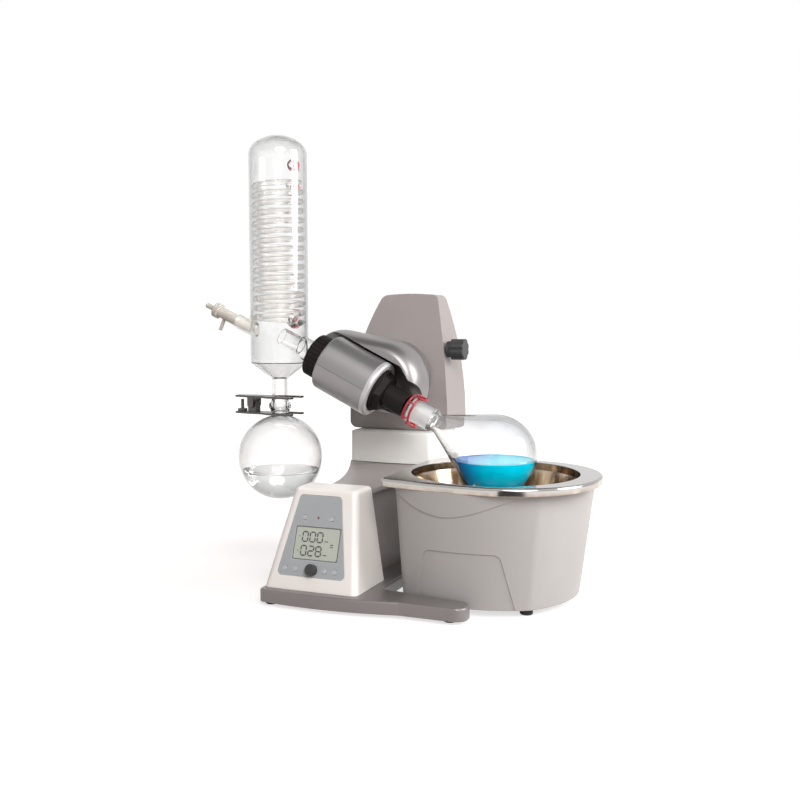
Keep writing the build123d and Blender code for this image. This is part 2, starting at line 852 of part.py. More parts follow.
with BuildPart() as tower_back_cover:
    cover_inset = back_cover_inset + seat_gap
    extrude(tower_front_outline(cover_inset, tower_back, cover_bottom + seat_gap), amount=back_cover_depth)
    with BuildSketch(Plane.XZ.offset(-tower_back)):
        with Locations((0, vent_bottom + vent_pitch * (vent_count - 1) / 2)):
            with GridLocations(1, vent_pitch, 1, vent_count):
                SlotOverall(vent_length, vent_width)
    extrude(amount=back_cover_depth, mode=Mode.SUBTRACT)
tower_back_cover.part.label = "tower_back_cover"

# Tilt lock knob: a fluted grip on a collar, with a stem that reaches the rim of the arm
with BuildPart() as tilt_knob:
    with BuildSketch(knob_profile):
        ring_profile(0, knob_stem_radius, knob_tip_x, knob_seat_x + knob_collar_length)
        ring_profile(0, knob_collar_radius, knob_seat_x, knob_seat_x + knob_collar_length)
        ring_profile(0, knob_radius, knob_seat_x + knob_collar_length, knob_end_x)
    revolve(axis=knob_axis)
    grip_start = knob_seat_x + knob_collar_length
    with BuildSketch(Plane.YZ.offset(grip_start)):
        with Locations((knob_y, knob_z)):
            with PolarLocations(knob_radius + knob_stem_radius, knob_flutes):
                Circle(knob_flute_radius)
    extrude(amount=knob_end_x - grip_start, mode=Mode.SUBTRACT)
    chamfer(tilt_knob.faces().sort_by(Axis.X)[-1].edges(), knob_edge)
tilt_knob.part.label = "tilt_knob"

# Drive head: an arm about the tilt axis carries a split round housing along the head axis
with BuildPart() as head_arm:
    with BuildSketch(Plane.XZ.offset(-arm_front)):
        with Locations((0, tilt_z)):
            Circle(arm_radius)
    extrude(amount=-(arm_back - arm_front))
    with BuildSketch(Plane.XZ.offset(-arm_front)):
        hood_middle = head_axis.position - head_axis.direction * hood_reach / 2
        with Locations((hood_middle.X, hood_middle.Z)):
            SlotCenterToCenter(hood_reach, 2 * arm_radius, rotation=-immersion)
    extrude(amount=-(hood_back - arm_front))
    fillet(head_arm.edges().group_by(Axis.Y)[0], arm_edge)
    with BuildSketch(head_profile):
        ring_profile(0, head_radius + seat_gap, -2 * arm_radius, 2 * arm_radius)
    revolve(axis=head_axis, mode=Mode.SUBTRACT)
    with BuildSketch(Plane.XZ.offset(-arm_front)):
        with Locations((0, tilt_z)):
            Circle(arm_radius - arm_wall)
    extrude(amount=-(arm_back - arm_wall - arm_front), mode=Mode.SUBTRACT)
    with BuildSketch(Plane.XZ.offset(-arm_back)):
        with Locations((0, tilt_z)):
            Circle(tilt_shaft_radius + run_fit)
    extrude(amount=2 * arm_wall, mode=Mode.SUBTRACT)
head_arm.part.label = "head_arm"

with BuildPart() as tilt_shaft:
    with BuildSketch(Plane.XZ.offset(-(arm_back - arm_wall))):
        with Locations((0, tilt_z)):
            Circle(tilt_shaft_radius)
    extrude(amount=-(bearing_back - arm_back + arm_wall))
    with BuildSketch(Plane.XZ.offset(-(arm_back - arm_wall))):
        with Locations((0, tilt_z)):
            Circle(tilt_flange_radius)
    extrude(amount=tilt_flange_thickness)
tilt_shaft.part.label = "tilt_shaft"

with BuildPart() as head_shell:
    with BuildSketch(head_profile):
        ring_profile(0, head_radius, head_left, head_right)
    revolve(axis=head_axis)
    fillet(head_shell.edges().filter_by(GeomType.CIRCLE).sort_by(head_axis)[:1], head_edge)
    with BuildSketch(head_profile):
        ring_profile(0, frame_radius + seat_gap, head_left + wall, head_right)
        ring_profile(0, spigot_radius + seat_gap, head_left, head_left + wall)
    revolve(axis=head_axis, mode=Mode.SUBTRACT)
    with BuildSketch(Plane.XZ):
        with Locations((0, tilt_z)):
            Circle(frame_radius - tie_radius)
    extrude(amount=-head_radius, mode=Mode.SUBTRACT)
seam_plane = Plane(origin=head_axis.position, x_dir=axis_dir, z_dir=head_profile.y_dir)
with BuildPart() as head_upper_shell:
    add(head_shell.part)
    split(bisect_by=seam_plane, keep=Keep.TOP)
head_upper_shell.part.label = "head_upper_shell"
with BuildPart() as head_lower_shell:
    add(head_shell.part)
    split(bisect_by=seam_plane, keep=Keep.BOTTOM)
head_lower_shell.part.label = "head_lower_shell"

bezel_end = head_right + bezel_length
with BuildPart() as head_bezel:
    with BuildSketch(head_profile):
        ring_profile(hub_radius + body_gap, head_radius, head_right, head_right + wall)
        ring_profile(bezel_inner, head_radius, head_right, bezel_end)
    revolve(axis=head_axis)
    rim_edges = head_bezel.edges().filter_by(GeomType.CIRCLE).group_by(SortBy.RADIUS)[-1]
    fillet(rim_edges.sort_by(head_axis)[-1:], head_edge)
head_bezel.part.label = "head_bezel"

# Bearing frame: two discs with three ties, and the spigot that the union ring screws on
with BuildPart() as bearing_frame:
    with BuildSketch(head_profile):
        ring_profile(bearing_radius + run_fit, frame_radius, bearing_left, bearing_left + bearing_width)
        ring_profile(bearing_radius + run_fit, frame_radius, bearing_right, bearing_right + bearing_width)
        ring_profile(spigot_bore, spigot_radius, spigot_end, bearing_left)
        ring_profile(spigot_bore, frame_radius, head_left + wall + seat_gap, bearing_left)
    revolve(axis=head_axis)
    with BuildSketch(across_head(bearing_left)):
        with PolarLocations(tie_circle, tie_count, start_angle=tie_start):
            Circle(tie_radius)
    extrude(amount=bearing_right - bearing_left)
bearing_frame.part.label = "bearing_frame"

with BuildPart() as hub_bearings:
    with BuildSketch(head_profile):
        for start in (bearing_left, bearing_right):
            ring_profile(hub_radius + run_fit, bearing_radius, start, start + bearing_width)
    revolve(axis=head_axis)
hub_bearings.part.label = "hub_bearings"

with BuildPart() as shaft_seal:
    with BuildSketch(head_profile):
        seal_left = spigot_end + seal_width / 2
        ring_profile(vapour_radius + run_fit, spigot_bore, seal_left, seal_left + seal_width)
    revolve(axis=head_axis)
shaft_seal.part.label = "shaft_seal"

# Rotor: hollow hub, its pulley, the vapour tube and the evaporating flask
with BuildPart() as drive_hub:
    with BuildSketch(head_profile):
        ring_profile(vapour_radius + run_fit, hub_radius, hub_left + body_gap + bearing_width / 4, nose_end)
    revolve(axis=head_axis)
drive_hub.part.label = "drive_hub"


def pulley_profile(bore, radius):
    """Half section of a flat belt pulley with a flange at each end."""
    right = pulley_left + pulley_width
    ring_profile(bore, radius, pulley_left, right)
    ring_profile(bore, radius + pulley_flange, pulley_left, pulley_left + pulley_flange / 2)
    ring_profile(bore, radius + pulley_flange, right - pulley_flange / 2, right)


with BuildPart() as hub_pulley:
    with BuildSketch(head_profile):
        pulley_profile(hub_radius + run_fit, hub_pulley_radius)
    revolve(axis=head_axis)
hub_pulley.part.label = "hub_pulley"

motor_axis = Axis((0, motor_y, tilt_z), axis_dir)
motor_profile = Plane(origin=(0, motor_y, tilt_z), x_dir=axis_dir, z_dir=(0, -1, 0))
with BuildPart() as motor_pulley:
    with BuildSketch(motor_profile):
        pulley_profile(motor_shaft_radius + run_fit, motor_pulley_radius)
    revolve(axis=motor_axis)
motor_pulley.part.label = "motor_pulley"

with BuildPart() as drive_motor:
    with BuildSketch(motor_profile):
        ring_profile(0, motor_radius, motor_left, motor_left + motor_length)
        ring_profile(0, motor_shaft_radius, pulley_left - pulley_flange, motor_left)
    revolve(axis=motor_axis)
    with BuildSketch(across_head(motor_left)):
        with Locations((motor_y, 0)):
            Rectangle(2 * motor_radius, 2 * (arm_radius - arm_wall - pulley_flange))
    extrude(amount=motor_plate)
drive_motor.part.label = "drive_motor"

with BuildPart() as drive_belt:
    belt_left = pulley_left + (pulley_width - belt_width) / 2
    hub_r = hub_pulley_radius + belt_gap
    motor_r = motor_pulley_radius + belt_gap
    with BuildSketch(across_head(belt_left)):
        for grow, how in ((belt_thickness, Mode.ADD), (0, Mode.SUBTRACT)):
            big = hub_r + grow
            small = motor_r + grow
            tilt = (big - small) / motor_y
            rise = (1 - tilt * tilt) ** 0.5
            Circle(big, mode=how)
            with Locations((motor_y, 0)):
                Circle(small, mode=how)
            Polygon(
                (big * tilt, big * rise),
                (big * tilt, -big * rise),
                (motor_y + small * tilt, -small * rise),
                (motor_y + small * tilt, small * rise),
                align=None,
                mode=how,
            )
    extrude(amount=belt_width)
drive_belt.part.label = "drive_belt"

# Union ring: a ribbed nut that pulls the condenser flange against the spigot
with BuildPart() as clamp_ring:
    with BuildSketch(head_profile):
        ring_profile(arm_tube_radius + 2 * body_gap, ring_radius, ring_left, ring_left + ring_lip)
        ring_profile(spigot_radius + run_fit, ring_radius, ring_left + ring_lip, ring_right)
    revolve(axis=head_axis)
    chamfer(clamp_ring.edges().filter_by(GeomType.CIRCLE).group_by(SortBy.RADIUS)[-1], ring_rib_depth / 2)
    with BuildSketch(across_head(ring_left)):
        with PolarLocations(ring_radius, ring_ribs):
            Rectangle(2 * ring_rib_depth, 2 * ring_rib_depth)
    extrude(amount=ring_right - ring_left, mode=Mode.SUBTRACT)
clamp_ring.part.label = "clamp_ring"

# Ejector: turning the nut drives the sleeve forward and pushes the flask off its cone
nut_left = head_right + wall + body_gap
nut_right = nut_left + nut_disc + nut_hex_length
with BuildPart() as ejector_nut:
    with BuildSketch(head_profile):
        ring_profile(0, nut_disc_radius, nut_left, nut_left + nut_disc)
    revolve(axis=head_axis)
    with BuildSketch(across_head(nut_left + nut_disc)):
        RegularPolygon(nut_hex_radius, 6)
    extrude(amount=nut_hex_length, taper=nut_taper)
    with BuildSketch(head_profile):
        ring_profile(0, hub_radius + run_fit, nut_left, nut_right)
    revolve(axis=head_axis, mode=Mode.SUBTRACT)
ejector_nut.part.label = "ejector_nut"

with BuildPart() as ejector_sleeve:
    with BuildSketch(head_profile):
        ring_profile(hub_radius + run_fit, sleeve_radius, nut_right + body_gap, sleeve_end)
    revolve(axis=head_axis)
    chamfer(ejector_sleeve.faces().sort_by(head_axis)[-1].edges(), (sleeve_radius - hub_radius) / 3)
ejector_sleeve.part.label = "ejector_sleeve"

cone_end = cone_start + cone_length
tube_left = spigot_end + seal_width / 2 - body_gap
with BuildPart() as vapour_tube:
    with BuildSketch(head_profile):
        with BuildLine():
            collar_left = cone_start - 2 * lip_length / 3
            Polyline(
                (tube_left, vapour_bore),
                (tube_left, vapour_radius),
                (collar_left - lip_length / 3, vapour_radius),
                (collar_left, collar_radius),
                (cone_start, collar_radius),
                (cone_start, cone_big),
                (cone_end, cone_small),
                (cone_end, vapour_bore),
                close=True,
            )
        make_face()
    revolve(axis=head_axis)
vapour_tube.part.label = "vapour_tube"

# Pear-shaped evaporating flask: ground socket, neck, cone and sphere on one axis
flask_at = flask_x / cos(radians(immersion))


def pear_profile(shell, bore_start):
    """Half section of the flask body, drawn in by a shell thickness, from a place on the axis."""
    radius = flask_radius - shell
    touch_at = flask_at - radius * sin(radians(flask_cone))
    touch_r = radius * cos(radians(flask_cone))
    neck = neck_radius - shell
    cone_at = touch_at - (touch_r - neck) / tan(radians(flask_cone))
    side_at = flask_at + radius * cos(radians(flask_cone))
    side_r = radius * sin(radians(flask_cone))
    with BuildSketch(head_profile) as section:
        with BuildLine():
            Polyline((bore_start, 0), (bore_start, neck), (cone_at, neck), (touch_at, touch_r))
            ThreePointArc((touch_at, touch_r), (side_at, side_r), (flask_at + radius, 0))
            Line((flask_at + radius, 0), (bore_start, 0))
        make_face()
    return section.sketch


socket_end = cone_end + lip_length
with BuildPart() as evaporating_flask:
    revolve(pear_profile(0, socket_end - lip_length), axis=head_axis)
    with BuildSketch(head_profile):
        ring_profile(0, cone_big + socket_wall, cone_start + seat_gap, socket_end)
        ring_profile(0, cone_big + socket_wall + lip_extra, cone_start + seat_gap, cone_start + lip_length)
    revolve(axis=head_axis)
    revolve(pear_profile(glass_wall, cone_end), axis=head_axis, mode=Mode.SUBTRACT)
    with BuildSketch(head_profile):
        with BuildLine():
            Polyline(
                (cone_start, 0),
                (cone_start, cone_big + run_fit),
                (cone_end, cone_small + run_fit),
                (socket_end, neck_radius - glass_wall),
                (socket_end, 0),
                close=True,
            )
        make_face()
    revolve(axis=head_axis, mode=Mode.SUBTRACT)
evaporating_flask.part.label = "evaporating_flask"

# Joint clip: an open ring with two lips over the flask lip and the collar of the vapour tube
lip_radius = cone_big + socket_wall + lip_extra
clip_right = cone_start + lip_length + seat_gap + clip_thickness
clip_outer = lip_radius + seat_gap + clip_thickness
with BuildPart() as flask_clip:
    with BuildSketch(head_profile):
        ring_profile(lip_radius + seat_gap, clip_outer, clip_left, clip_right)
        ring_profile(vapour_radius + clip_thickness, clip_outer, clip_left, clip_left + clip_thickness)
        ring_profile(cone_big + socket_wall + seat_gap, clip_outer, clip_right - clip_thickness, clip_right)
    revolve(axis=head_axis, revolution_arc=360 - clip_gap_angle)
    with BuildSketch(across_head(clip_left)):
        for turn in (0, clip_gap_angle):
            with PolarLocations(clip_outer + clip_ear / 2, 1, start_angle=90 + turn):
                Circle(clip_ear)
                Circle(clip_ear / 2, mode=Mode.SUBTRACT)
    extrude(amount=clip_right - clip_left)
    with BuildSketch(head_profile):
        ring_profile(0, lip_radius + seat_gap, clip_left + clip_thickness, clip_right - clip_thickness)
    revolve(axis=head_axis, mode=Mode.SUBTRACT)
flask_clip.part.label = "flask_clip"


# Condenser jacket: domed cylinder with a drain cone, a side arm, a valve socket and hose stubs
def jacket_profile(shell):
    """Half section of the jacket about its upright axis, drawn in by a shell thickness."""
    radius = jacket_radius - shell
    with BuildSketch(upright_profile) as section:
        with BuildLine():
            Line((0, cone_bottom + shell), (drain_radius - shell, cone_bottom + shell))
            Line((drain_radius - shell, cone_bottom + shell), (radius, jacket_bottom + shell / 2))
            Line((radius, jacket_bottom + shell / 2), (radius, jacket_shoulder))
            corner = jacket_dome_corner - shell
            rise = jacket_top - shell - jacket_shoulder
            reach = jacket_radius - jacket_dome_corner
            crown = (reach**2 + rise**2 - corner**2) / (2 * (rise - corner))
            crown_z = jacket_top - shell - crown
            turn = atan2(jacket_shoulder - crown_z, reach)
            half_turn = turn / 2
            top_turn = (turn + radians(90)) / 2
            meet = (crown * cos(turn), crown_z + crown * sin(turn))
            ThreePointArc(
                (radius, jacket_shoulder),
                (reach + corner * cos(half_turn), jacket_shoulder + corner * sin(half_turn)),
                meet,
            )
            ThreePointArc(
                meet,
                (crown * cos(top_turn), crown_z + crown * sin(top_turn)),
                (0, jacket_top - shell),
            )
            Line((0, jacket_top - shell), (0, cone_bottom + shell))
        make_face()
    return section.sketch


flange_left = spigot_end - flange_length
with BuildPart() as condenser_jacket:
    revolve(jacket_profile(0), axis=upright_axis)
    with BuildSketch(upright_profile):
        with BuildLine():
            ball_top = ball_z + (ball_radius**2 - drain_radius**2) ** 0.5
            Polyline((0, ball_z - ball_cut), ((ball_radius**2 - ball_cut**2) ** 0.5, ball_z - ball_cut))
            ThreePointArc(
                ((ball_radius**2 - ball_cut**2) ** 0.5, ball_z - ball_cut),
                (ball_radius, ball_z),
                (drain_radius, ball_top),
            )
            Polyline(
                (drain_radius, ball_top),
                (drain_radius, cone_bottom),
                (0, cone_bottom),
                (0, ball_z - ball_cut),
            )
        make_face()
    revolve(axis=upright_axis)
    arm_root = (condenser_x + jacket_radius / 2) / cos(radians(immersion))
    with BuildSketch(head_profile):
        ring_profile(0, arm_tube_radius, arm_root, flange_left)
        ring_profile(0, arm_tube_flange, flange_left, spigot_end)
    revolve(axis=head_axis)
    with BuildSketch(valve_profile):
        ring_profile(0, valve_socket_radius, -glass_wall, valve_socket_length)
    revolve(axis=valve_axis)
    for height in hose_heights:
        with BuildSketch(Plane.XZ.offset(-jacket_radius / 2)):
            with Locations((condenser_x, height)):
                Circle(stub_radius)
        extrude(amount=-(jacket_radius / 2 + stub_length))
    revolve(jacket_profile(glass_wall), axis=upright_axis, mode=Mode.SUBTRACT)
    with BuildSketch(head_profile):
        ring_profile(0, inner_tube_radius, inner_tube_end, arm_root + arm_tube_radius)
    revolve(axis=head_axis)
    with BuildSketch(head_profile):
        ring_profile(0, inner_tube_radius - glass_wall, inner_tube_end, spigot_end)
        ring_profile(0, arm_tube_radius - glass_wall, arm_root + arm_tube_radius, spigot_end)
    revolve(axis=head_axis, mode=Mode.SUBTRACT)
    with BuildSketch(upright_profile):
        with Locations((drain_bore / 2, (ball_z - ball_cut + cone_bottom + glass_wall) / 2)):
            Rectangle(drain_bore, cone_bottom + glass_wall - ball_z + ball_cut)
    revolve(axis=upright_axis, mode=Mode.SUBTRACT)
    with BuildSketch(valve_profile):
        with BuildLine():
            Polyline(
                (-2 * glass_wall, 0),
                (-2 * glass_wall, valve_plug_radius - valve_taper + run_fit),
                (0, valve_plug_radius - valve_taper + run_fit),
                (valve_socket_length, valve_plug_radius + run_fit),
                (valve_socket_length, 0),
                close=True,
            )
        make_face()
    revolve(axis=valve_axis, mode=Mode.SUBTRACT)
    for height in hose_heights:
        with BuildSketch(Plane.XZ.offset(-jacket_radius / 2)):
            with Locations((condenser_x, height)):
                Circle(nozzle_radius + run_fit)
        extrude(amount=-(jacket_radius / 2 + stub_length), mode=Mode.SUBTRACT)
condenser_jacket.part.label = "condenser_jacket"

# Cooling coil: a helix that hangs in the jacket, its two ends turned out to the hose stubs
coil_pitch = (coil_top - coil_bottom) / coil_turns
coil_frame = Plane(origin=(condenser_x, 0, coil_bottom), x_dir=(0, 1, 0), z_dir=(0, 0, 1))
with BuildPart() as cooling_coil:
    with BuildLine(coil_frame):
        coil_path = Helix(coil_pitch, coil_top - coil_bottom, coil_radius)
    with BuildSketch(Plane(origin=coil_path @ 0, z_dir=coil_path % 0)):
        Circle(coil_tube)
    sweep(path=coil_path)
    for end_z in (coil_bottom, coil_top):
        with BuildSketch(Plane.XZ.offset(-(coil_radius - coil_tube / 2))):
            with Locations((condenser_x, end_z)):
                Circle(coil_tube)
        extrude(amount=-(jacket_radius - glass_wall - seat_gap - coil_radius + coil_tube / 2))
cooling_coil.part.label = "cooling_coil"

stub_face = jacket_radius + stub_length
with BuildPart() as hose_caps:
    for height in hose_heights:
        with BuildSketch(Plane.XZ.offset(-(stub_face - cap_length + wall))):
            with Locations((condenser_x, height)):
                RegularPolygon(cap_radius, cap_sides)
                Circle(stub_radius + run_fit, mode=Mode.SUBTRACT)
        extrude(amount=-(cap_length - wall))
        with BuildSketch(Plane.XZ.offset(-stub_face)):
            with Locations((condenser_x, height)):
                RegularPolygon(cap_radius, cap_sides)
                Circle(nozzle_radius + run_fit, mode=Mode.SUBTRACT)
        extrude(amount=-wall)
hose_caps.part.label = "hose_caps"

with BuildPart() as hose_nozzles:
    for height in hose_heights:
        nozzle_profile = Plane(origin=(condenser_x, 0, height), x_dir=(0, 1, 0), z_dir=(1, 0, 0))
        nozzle_start = jacket_radius
        nozzle_end = stub_face + nozzle_length
        hose_start = stub_face + wall + body_gap
        with BuildSketch(nozzle_profile):
            with BuildLine():
                Polyline(
                    (nozzle_start, nozzle_bore),
                    (nozzle_start, nozzle_radius),
                    (hose_start, nozzle_radius),
                    (hose_start, hose_radius),
                    (nozzle_end - barb_extra, hose_radius),
                    (nozzle_end, hose_radius - barb_extra),
                    (nozzle_end, nozzle_bore),
                    close=True,
                )
            make_face()
        revolve(axis=Axis((condenser_x, 0, height), (0, 1, 0)))
hose_nozzles.part.label = "hose_nozzles"

# Receiving flask: sphere with a short neck and a cup that takes the ball of the condenser
with BuildPart() as receiving_flask:
    for shell, how in ((0, Mode.ADD), (glass_wall, Mode.SUBTRACT)):
        with BuildSketch(upright_profile):
            with BuildLine():
                ball = receiver_radius - shell
                neck = receiver_neck - shell
                neck_z = receiver_z + (ball**2 - neck**2) ** 0.5
                ThreePointArc((0, receiver_z - ball), (ball, receiver_z), (neck, neck_z))
                Polyline((neck, neck_z), (neck, cup_bottom), (0, cup_bottom), (0, receiver_z - ball))
            make_face()
        revolve(axis=upright_axis, mode=how)
    with BuildSketch(upright_profile):
        with BuildLine():
            Polyline(
                (0, cup_bottom),
                (receiver_neck, cup_bottom),
                (cup_radius, (cup_bottom + cup_top) / 2),
                (cup_radius, cup_top),
                (0, cup_top),
                close=True,
            )
        make_face()
    revolve(axis=upright_axis)
    with BuildSketch(upright_profile):
        with BuildLine():
            Line((0, ball_z + ball_radius + seat_gap), (0, ball_z - ball_radius - seat_gap))
            ThreePointArc(
                (0, ball_z - ball_radius - seat_gap),
                (ball_radius + seat_gap, ball_z),
                (0, ball_z + ball_radius + seat_gap),
            )
        make_face()
    revolve(axis=upright_axis, mode=Mode.SUBTRACT)
    with BuildSketch(upright_profile):
        with Locations(((receiver_neck - glass_wall) / 2, cup_bottom)):
            Rectangle(receiver_neck - glass_wall, 2 * glass_wall)
    revolve(axis=upright_axis, mode=Mode.SUBTRACT)
receiving_flask.part.label = "receiving_flask"

# Ball joint clamp: two forked jaws on a pivot, spread at their tails by a wheel on a screw
upper_jaw_z = ball_top + seat_gap
lower_jaw_z = cup_bottom - seat_gap - jaw_thickness


def jaw_plan(slot_radius, height):
    """Plan of one jaw: a bar that widens to a fork with a slot open to the right."""
    fork_left = condenser_x - slot_radius - jaw_half_width
    tail = jaw_half_width / 2
    with BuildSketch(Plane.XY.offset(height)) as plan:
        Polygon(
            (jaw_left, -tail),
            (jaw_pivot_x, -jaw_half_width),
            (fork_left, -jaw_half_width),
            (condenser_x - slot_radius, -fork_half_width),
            (jaw_right, -fork_half_width),
            (jaw_right, fork_half_width),
            (condenser_x - slot_radius, fork_half_width),
            (fork_left, jaw_half_width),
            (jaw_pivot_x, jaw_half_width),
            (jaw_left, tail),
            align=None,
        )
        with Locations((condenser_x, 0)):
            Circle(slot_radius, mode=Mode.SUBTRACT)
        with Locations(((condenser_x + jaw_right) / 2, 0)):
            Rectangle(jaw_right - condenser_x, 2 * slot_radius, mode=Mode.SUBTRACT)
    return plan.sketch


pivot_z = (upper_jaw_z + lower_jaw_z + jaw_thickness) / 2
with BuildPart() as clamp_lower_jaw:
    extrude(jaw_plan(receiver_neck + body_gap, lower_jaw_z), amount=jaw_thickness)
    with BuildSketch(Plane.XY.offset(lower_jaw_z)):
        with Locations((jaw_pivot_x, 0)):
            Rectangle(2 * pivot_block_half, 2 * pivot_block_half)
    extrude(amount=pivot_z + 2 * pivot_radius - lower_jaw_z)
    with BuildSketch(Plane.XZ.offset(-jaw_half_width)):
        with Locations((jaw_pivot_x, pivot_z)):
            Circle(pivot_radius)
    extrude(amount=2 * jaw_half_width)
    with BuildSketch(Plane.XY.offset(lower_jaw_z)):
        with Locations((jaw_screw_x, 0)):
            Circle(clamp_screw_radius + run_fit)
    extrude(amount=jaw_thickness, mode=Mode.SUBTRACT)
clamp_lower_jaw.part.label = "clamp_lower_jaw"

cheek_inner = pivot_block_half + body_gap
with BuildPart() as clamp_upper_jaw:
    extrude(jaw_plan(drain_radius + body_gap, upper_jaw_z), amount=jaw_thickness)
    for side in (-1, 1):
        with BuildSketch(Plane.XZ.offset(-side * (cheek_inner + jaw_half_width) / 2)):
            with Locations((jaw_pivot_x, pivot_z)):
                Circle(2 * pivot_radius)
            with Locations((jaw_pivot_x, (pivot_z + upper_jaw_z + jaw_thickness) / 2)):
                Rectangle(4 * pivot_radius, upper_jaw_z + jaw_thickness - pivot_z)
            with Locations((jaw_pivot_x, pivot_z)):
                Circle(pivot_radius + run_fit, mode=Mode.SUBTRACT)
        extrude(amount=(jaw_half_width - cheek_inner) / 2, both=True)
clamp_upper_jaw.part.label = "clamp_upper_jaw"

jaw_drop = (jaw_pivot_x - jaw_left) * tan(radians(jaw_swing))
with BuildPart() as clamp_screw:
    with BuildSketch(Plane.XY.offset(lower_jaw_z)):
        with Locations((jaw_screw_x, 0)):
            Circle(clamp_screw_radius)
    extrude(amount=upper_jaw_z - jaw_drop - body_gap - lower_jaw_z)
    with BuildSketch(Plane.XY.offset(lower_jaw_z + jaw_thickness + body_gap)):
        with Locations((jaw_screw_x, 0)):
            Circle(clamp_wheel_radius)
            with PolarLocations(clamp_wheel_radius, clamp_wheel_notches):
                Circle(clamp_screw_radius / 3, mode=Mode.SUBTRACT)
    extrude(amount=clamp_wheel_height)
clamp_screw.part.label = "clamp_screw"

# Feed valve: a tapered plug with a flange, a hose tip and a side nozzle
with BuildPart() as feed_valve:
    with BuildSketch(valve_profile):
        with BuildLine():
            flange_right = valve_flange_at + valve_flange_length
            Polyline(
                (0, 0),
                (0, valve_plug_radius - valve_taper),
                (valve_socket_length, valve_plug_radius),
                (valve_flange_at, valve_plug_radius),
                (valve_flange_at, valve_flange_radius),
                (flange_right, valve_flange_radius),
                (flange_right, hose_radius),
                (valve_length - barb_extra, hose_radius),
                (valve_length, hose_radius - barb_extra),
                (valve_length, 0),
                close=True,
            )
        make_face()
    revolve(axis=valve_axis)
    side_plane = Plane(
        origin=valve_origin + valve_dir * valve_nozzle_at, x_dir=(0, 1, 0), z_dir=valve_profile.y_dir
    )
    with BuildSketch(side_plane):
        Circle(valve_nozzle_radius)
    extrude(amount=valve_nozzle_length)
feed_valve.part.label = "feed_valve"


# Heating bath: the rim has a bowed front, one sharp corner and a broad round right end
rim_bottom = rim_top - rim_height


def rim_plan():
    """Plan of the steel rim at its lower face."""
    nose = (rim_front + rim_back) / 2
    bend = rim_right - (rim_right - rim_left) * round_end_share
    turn = rim_right - (rim_right - bend) * half_arc
    with BuildSketch(Plane.XY.offset(rim_bottom)) as plan:
        with BuildLine():
            front_end = (rim_left, rim_front + rim_bow)
            TangentArc((bend, rim_front), front_end, tangent=(-1, 0))
            ThreePointArc(
                (bend, rim_front), (turn, nose - (nose - rim_front) * (1 - half_arc)), (rim_right, nose)
            )
            ThreePointArc(
                (rim_right, nose), (turn, nose + (rim_back - nose) * (1 - half_arc)), (bend, rim_back)
            )
            Polyline((bend, rim_back), (rim_left, rim_back), front_end)
        make_face()
        corners = plan.vertices().sort_by(Axis.X)[:2].sort_by(Axis.Y)
        fillet(corners[0], rim_front_corner)
        fillet(plan.vertices().sort_by_distance((rim_left, rim_back, rim_bottom))[0], rim_back_corner)
    return plan.sketch


def housing_plan(sides, height, grow):
    """Plan of the housing at a height from its four bowed sides, widened by an amount."""
    share = 1 + grow / housing_reach
    with BuildSketch(Plane.XY.offset(height)) as plan:
        with BuildLine():
            for side in sides.values():
                ThreePointArc(*[(bath_x + (x - bath_x) * share, y * share) for x, y in side])
        make_face()
        fillet(plan.vertices(), housing_corner)
    return plan.sketch


def housing_plans(grow):
    """Bottom and top plans of the bath housing, widened by an amount."""
    return [housing_plan(housing_low, housing_bottom, grow), housing_plan(housing_high, rim_bottom, grow)]


with BuildPart() as bath_apron:
    loft(housing_plans(apron_proud))
    with BuildSketch(Plane.XZ):
        with BuildLine():
            lower_edge = Spline(*apron_line)
            Polyline(
                lower_edge @ 1,
                (rim_right, apron_line[-1][1]),
                (rim_right, 0),
                (0, 0),
                (0, apron_line[0][1]),
                lower_edge @ 0,
            )
        make_face()
    extrude(amount=2 * rim_back, mode=Mode.SUBTRACT)
    with BuildSketch(Plane.XY):
        with Locations((bath_x, rim_back)):
            Rectangle(2 * bath_x, 2 * rim_back)
    extrude(amount=rim_top, mode=Mode.SUBTRACT)

with BuildPart() as arch_panel:
    loft(housing_plans(apron_proud))
    loft(housing_plans(-arch_depth), mode=Mode.SUBTRACT)
    with BuildSketch(Plane.XZ) as arch:
        with BuildLine():
            Polyline(
                (arch_low_left, 0),
                (arch_left, arch_top),
                (arch_right, arch_top),
                (arch_low_right, 0),
                close=True,
            )
        make_face()
        fillet(arch.vertices().sort_by(Axis.Y)[-2:], arch_corner)
    extrude(amount=2 * rim_back, mode=Mode.INTERSECT)

with BuildPart() as bath_housing:
    loft(housing_plans(0))
    add(bath_apron.part)
    add(arch_panel.part, mode=Mode.SUBTRACT)
    loft(housing_plans(-housing_wall), mode=Mode.SUBTRACT)
bath_housing.part.label = "bath_housing"

pot_plane = Plane(origin=(bath_x, 0, 0), x_dir=(1, 0, 0), z_dir=(0, -1, 0))
pot_axis = Axis((bath_x, 0, 0), (0, 0, 1))
with BuildPart() as bath_pot:
    extrude(rim_plan(), amount=rim_height)
    fillet(bath_pot.faces().sort_by(Axis.Z)[-1].edges(), rim_edge)
    with BuildSketch(pot_plane):
        with BuildLine():
            Polyline(
                (0, pot_floor - pot_wall),
                (pot_floor_radius, pot_floor - pot_wall),
                (pot_low_radius + pot_wall, pot_low),
                (pot_radius + pot_wall, rim_bottom),
                (0, rim_bottom),
                close=True,
            )
        make_face()
    revolve(axis=pot_axis)
    with BuildSketch(pot_plane):
        with BuildLine():
            Polyline(
                (0, pot_floor),
                (pot_floor_radius, pot_floor),
                (pot_low_radius, pot_low),
                (pot_radius, rim_bottom),
                (pot_radius, rim_top),
                (0, rim_top),
                close=True,
            )
        make_face()
    revolve(axis=pot_axis, mode=Mode.SUBTRACT)
bath_pot.part.label = "bath_pot"

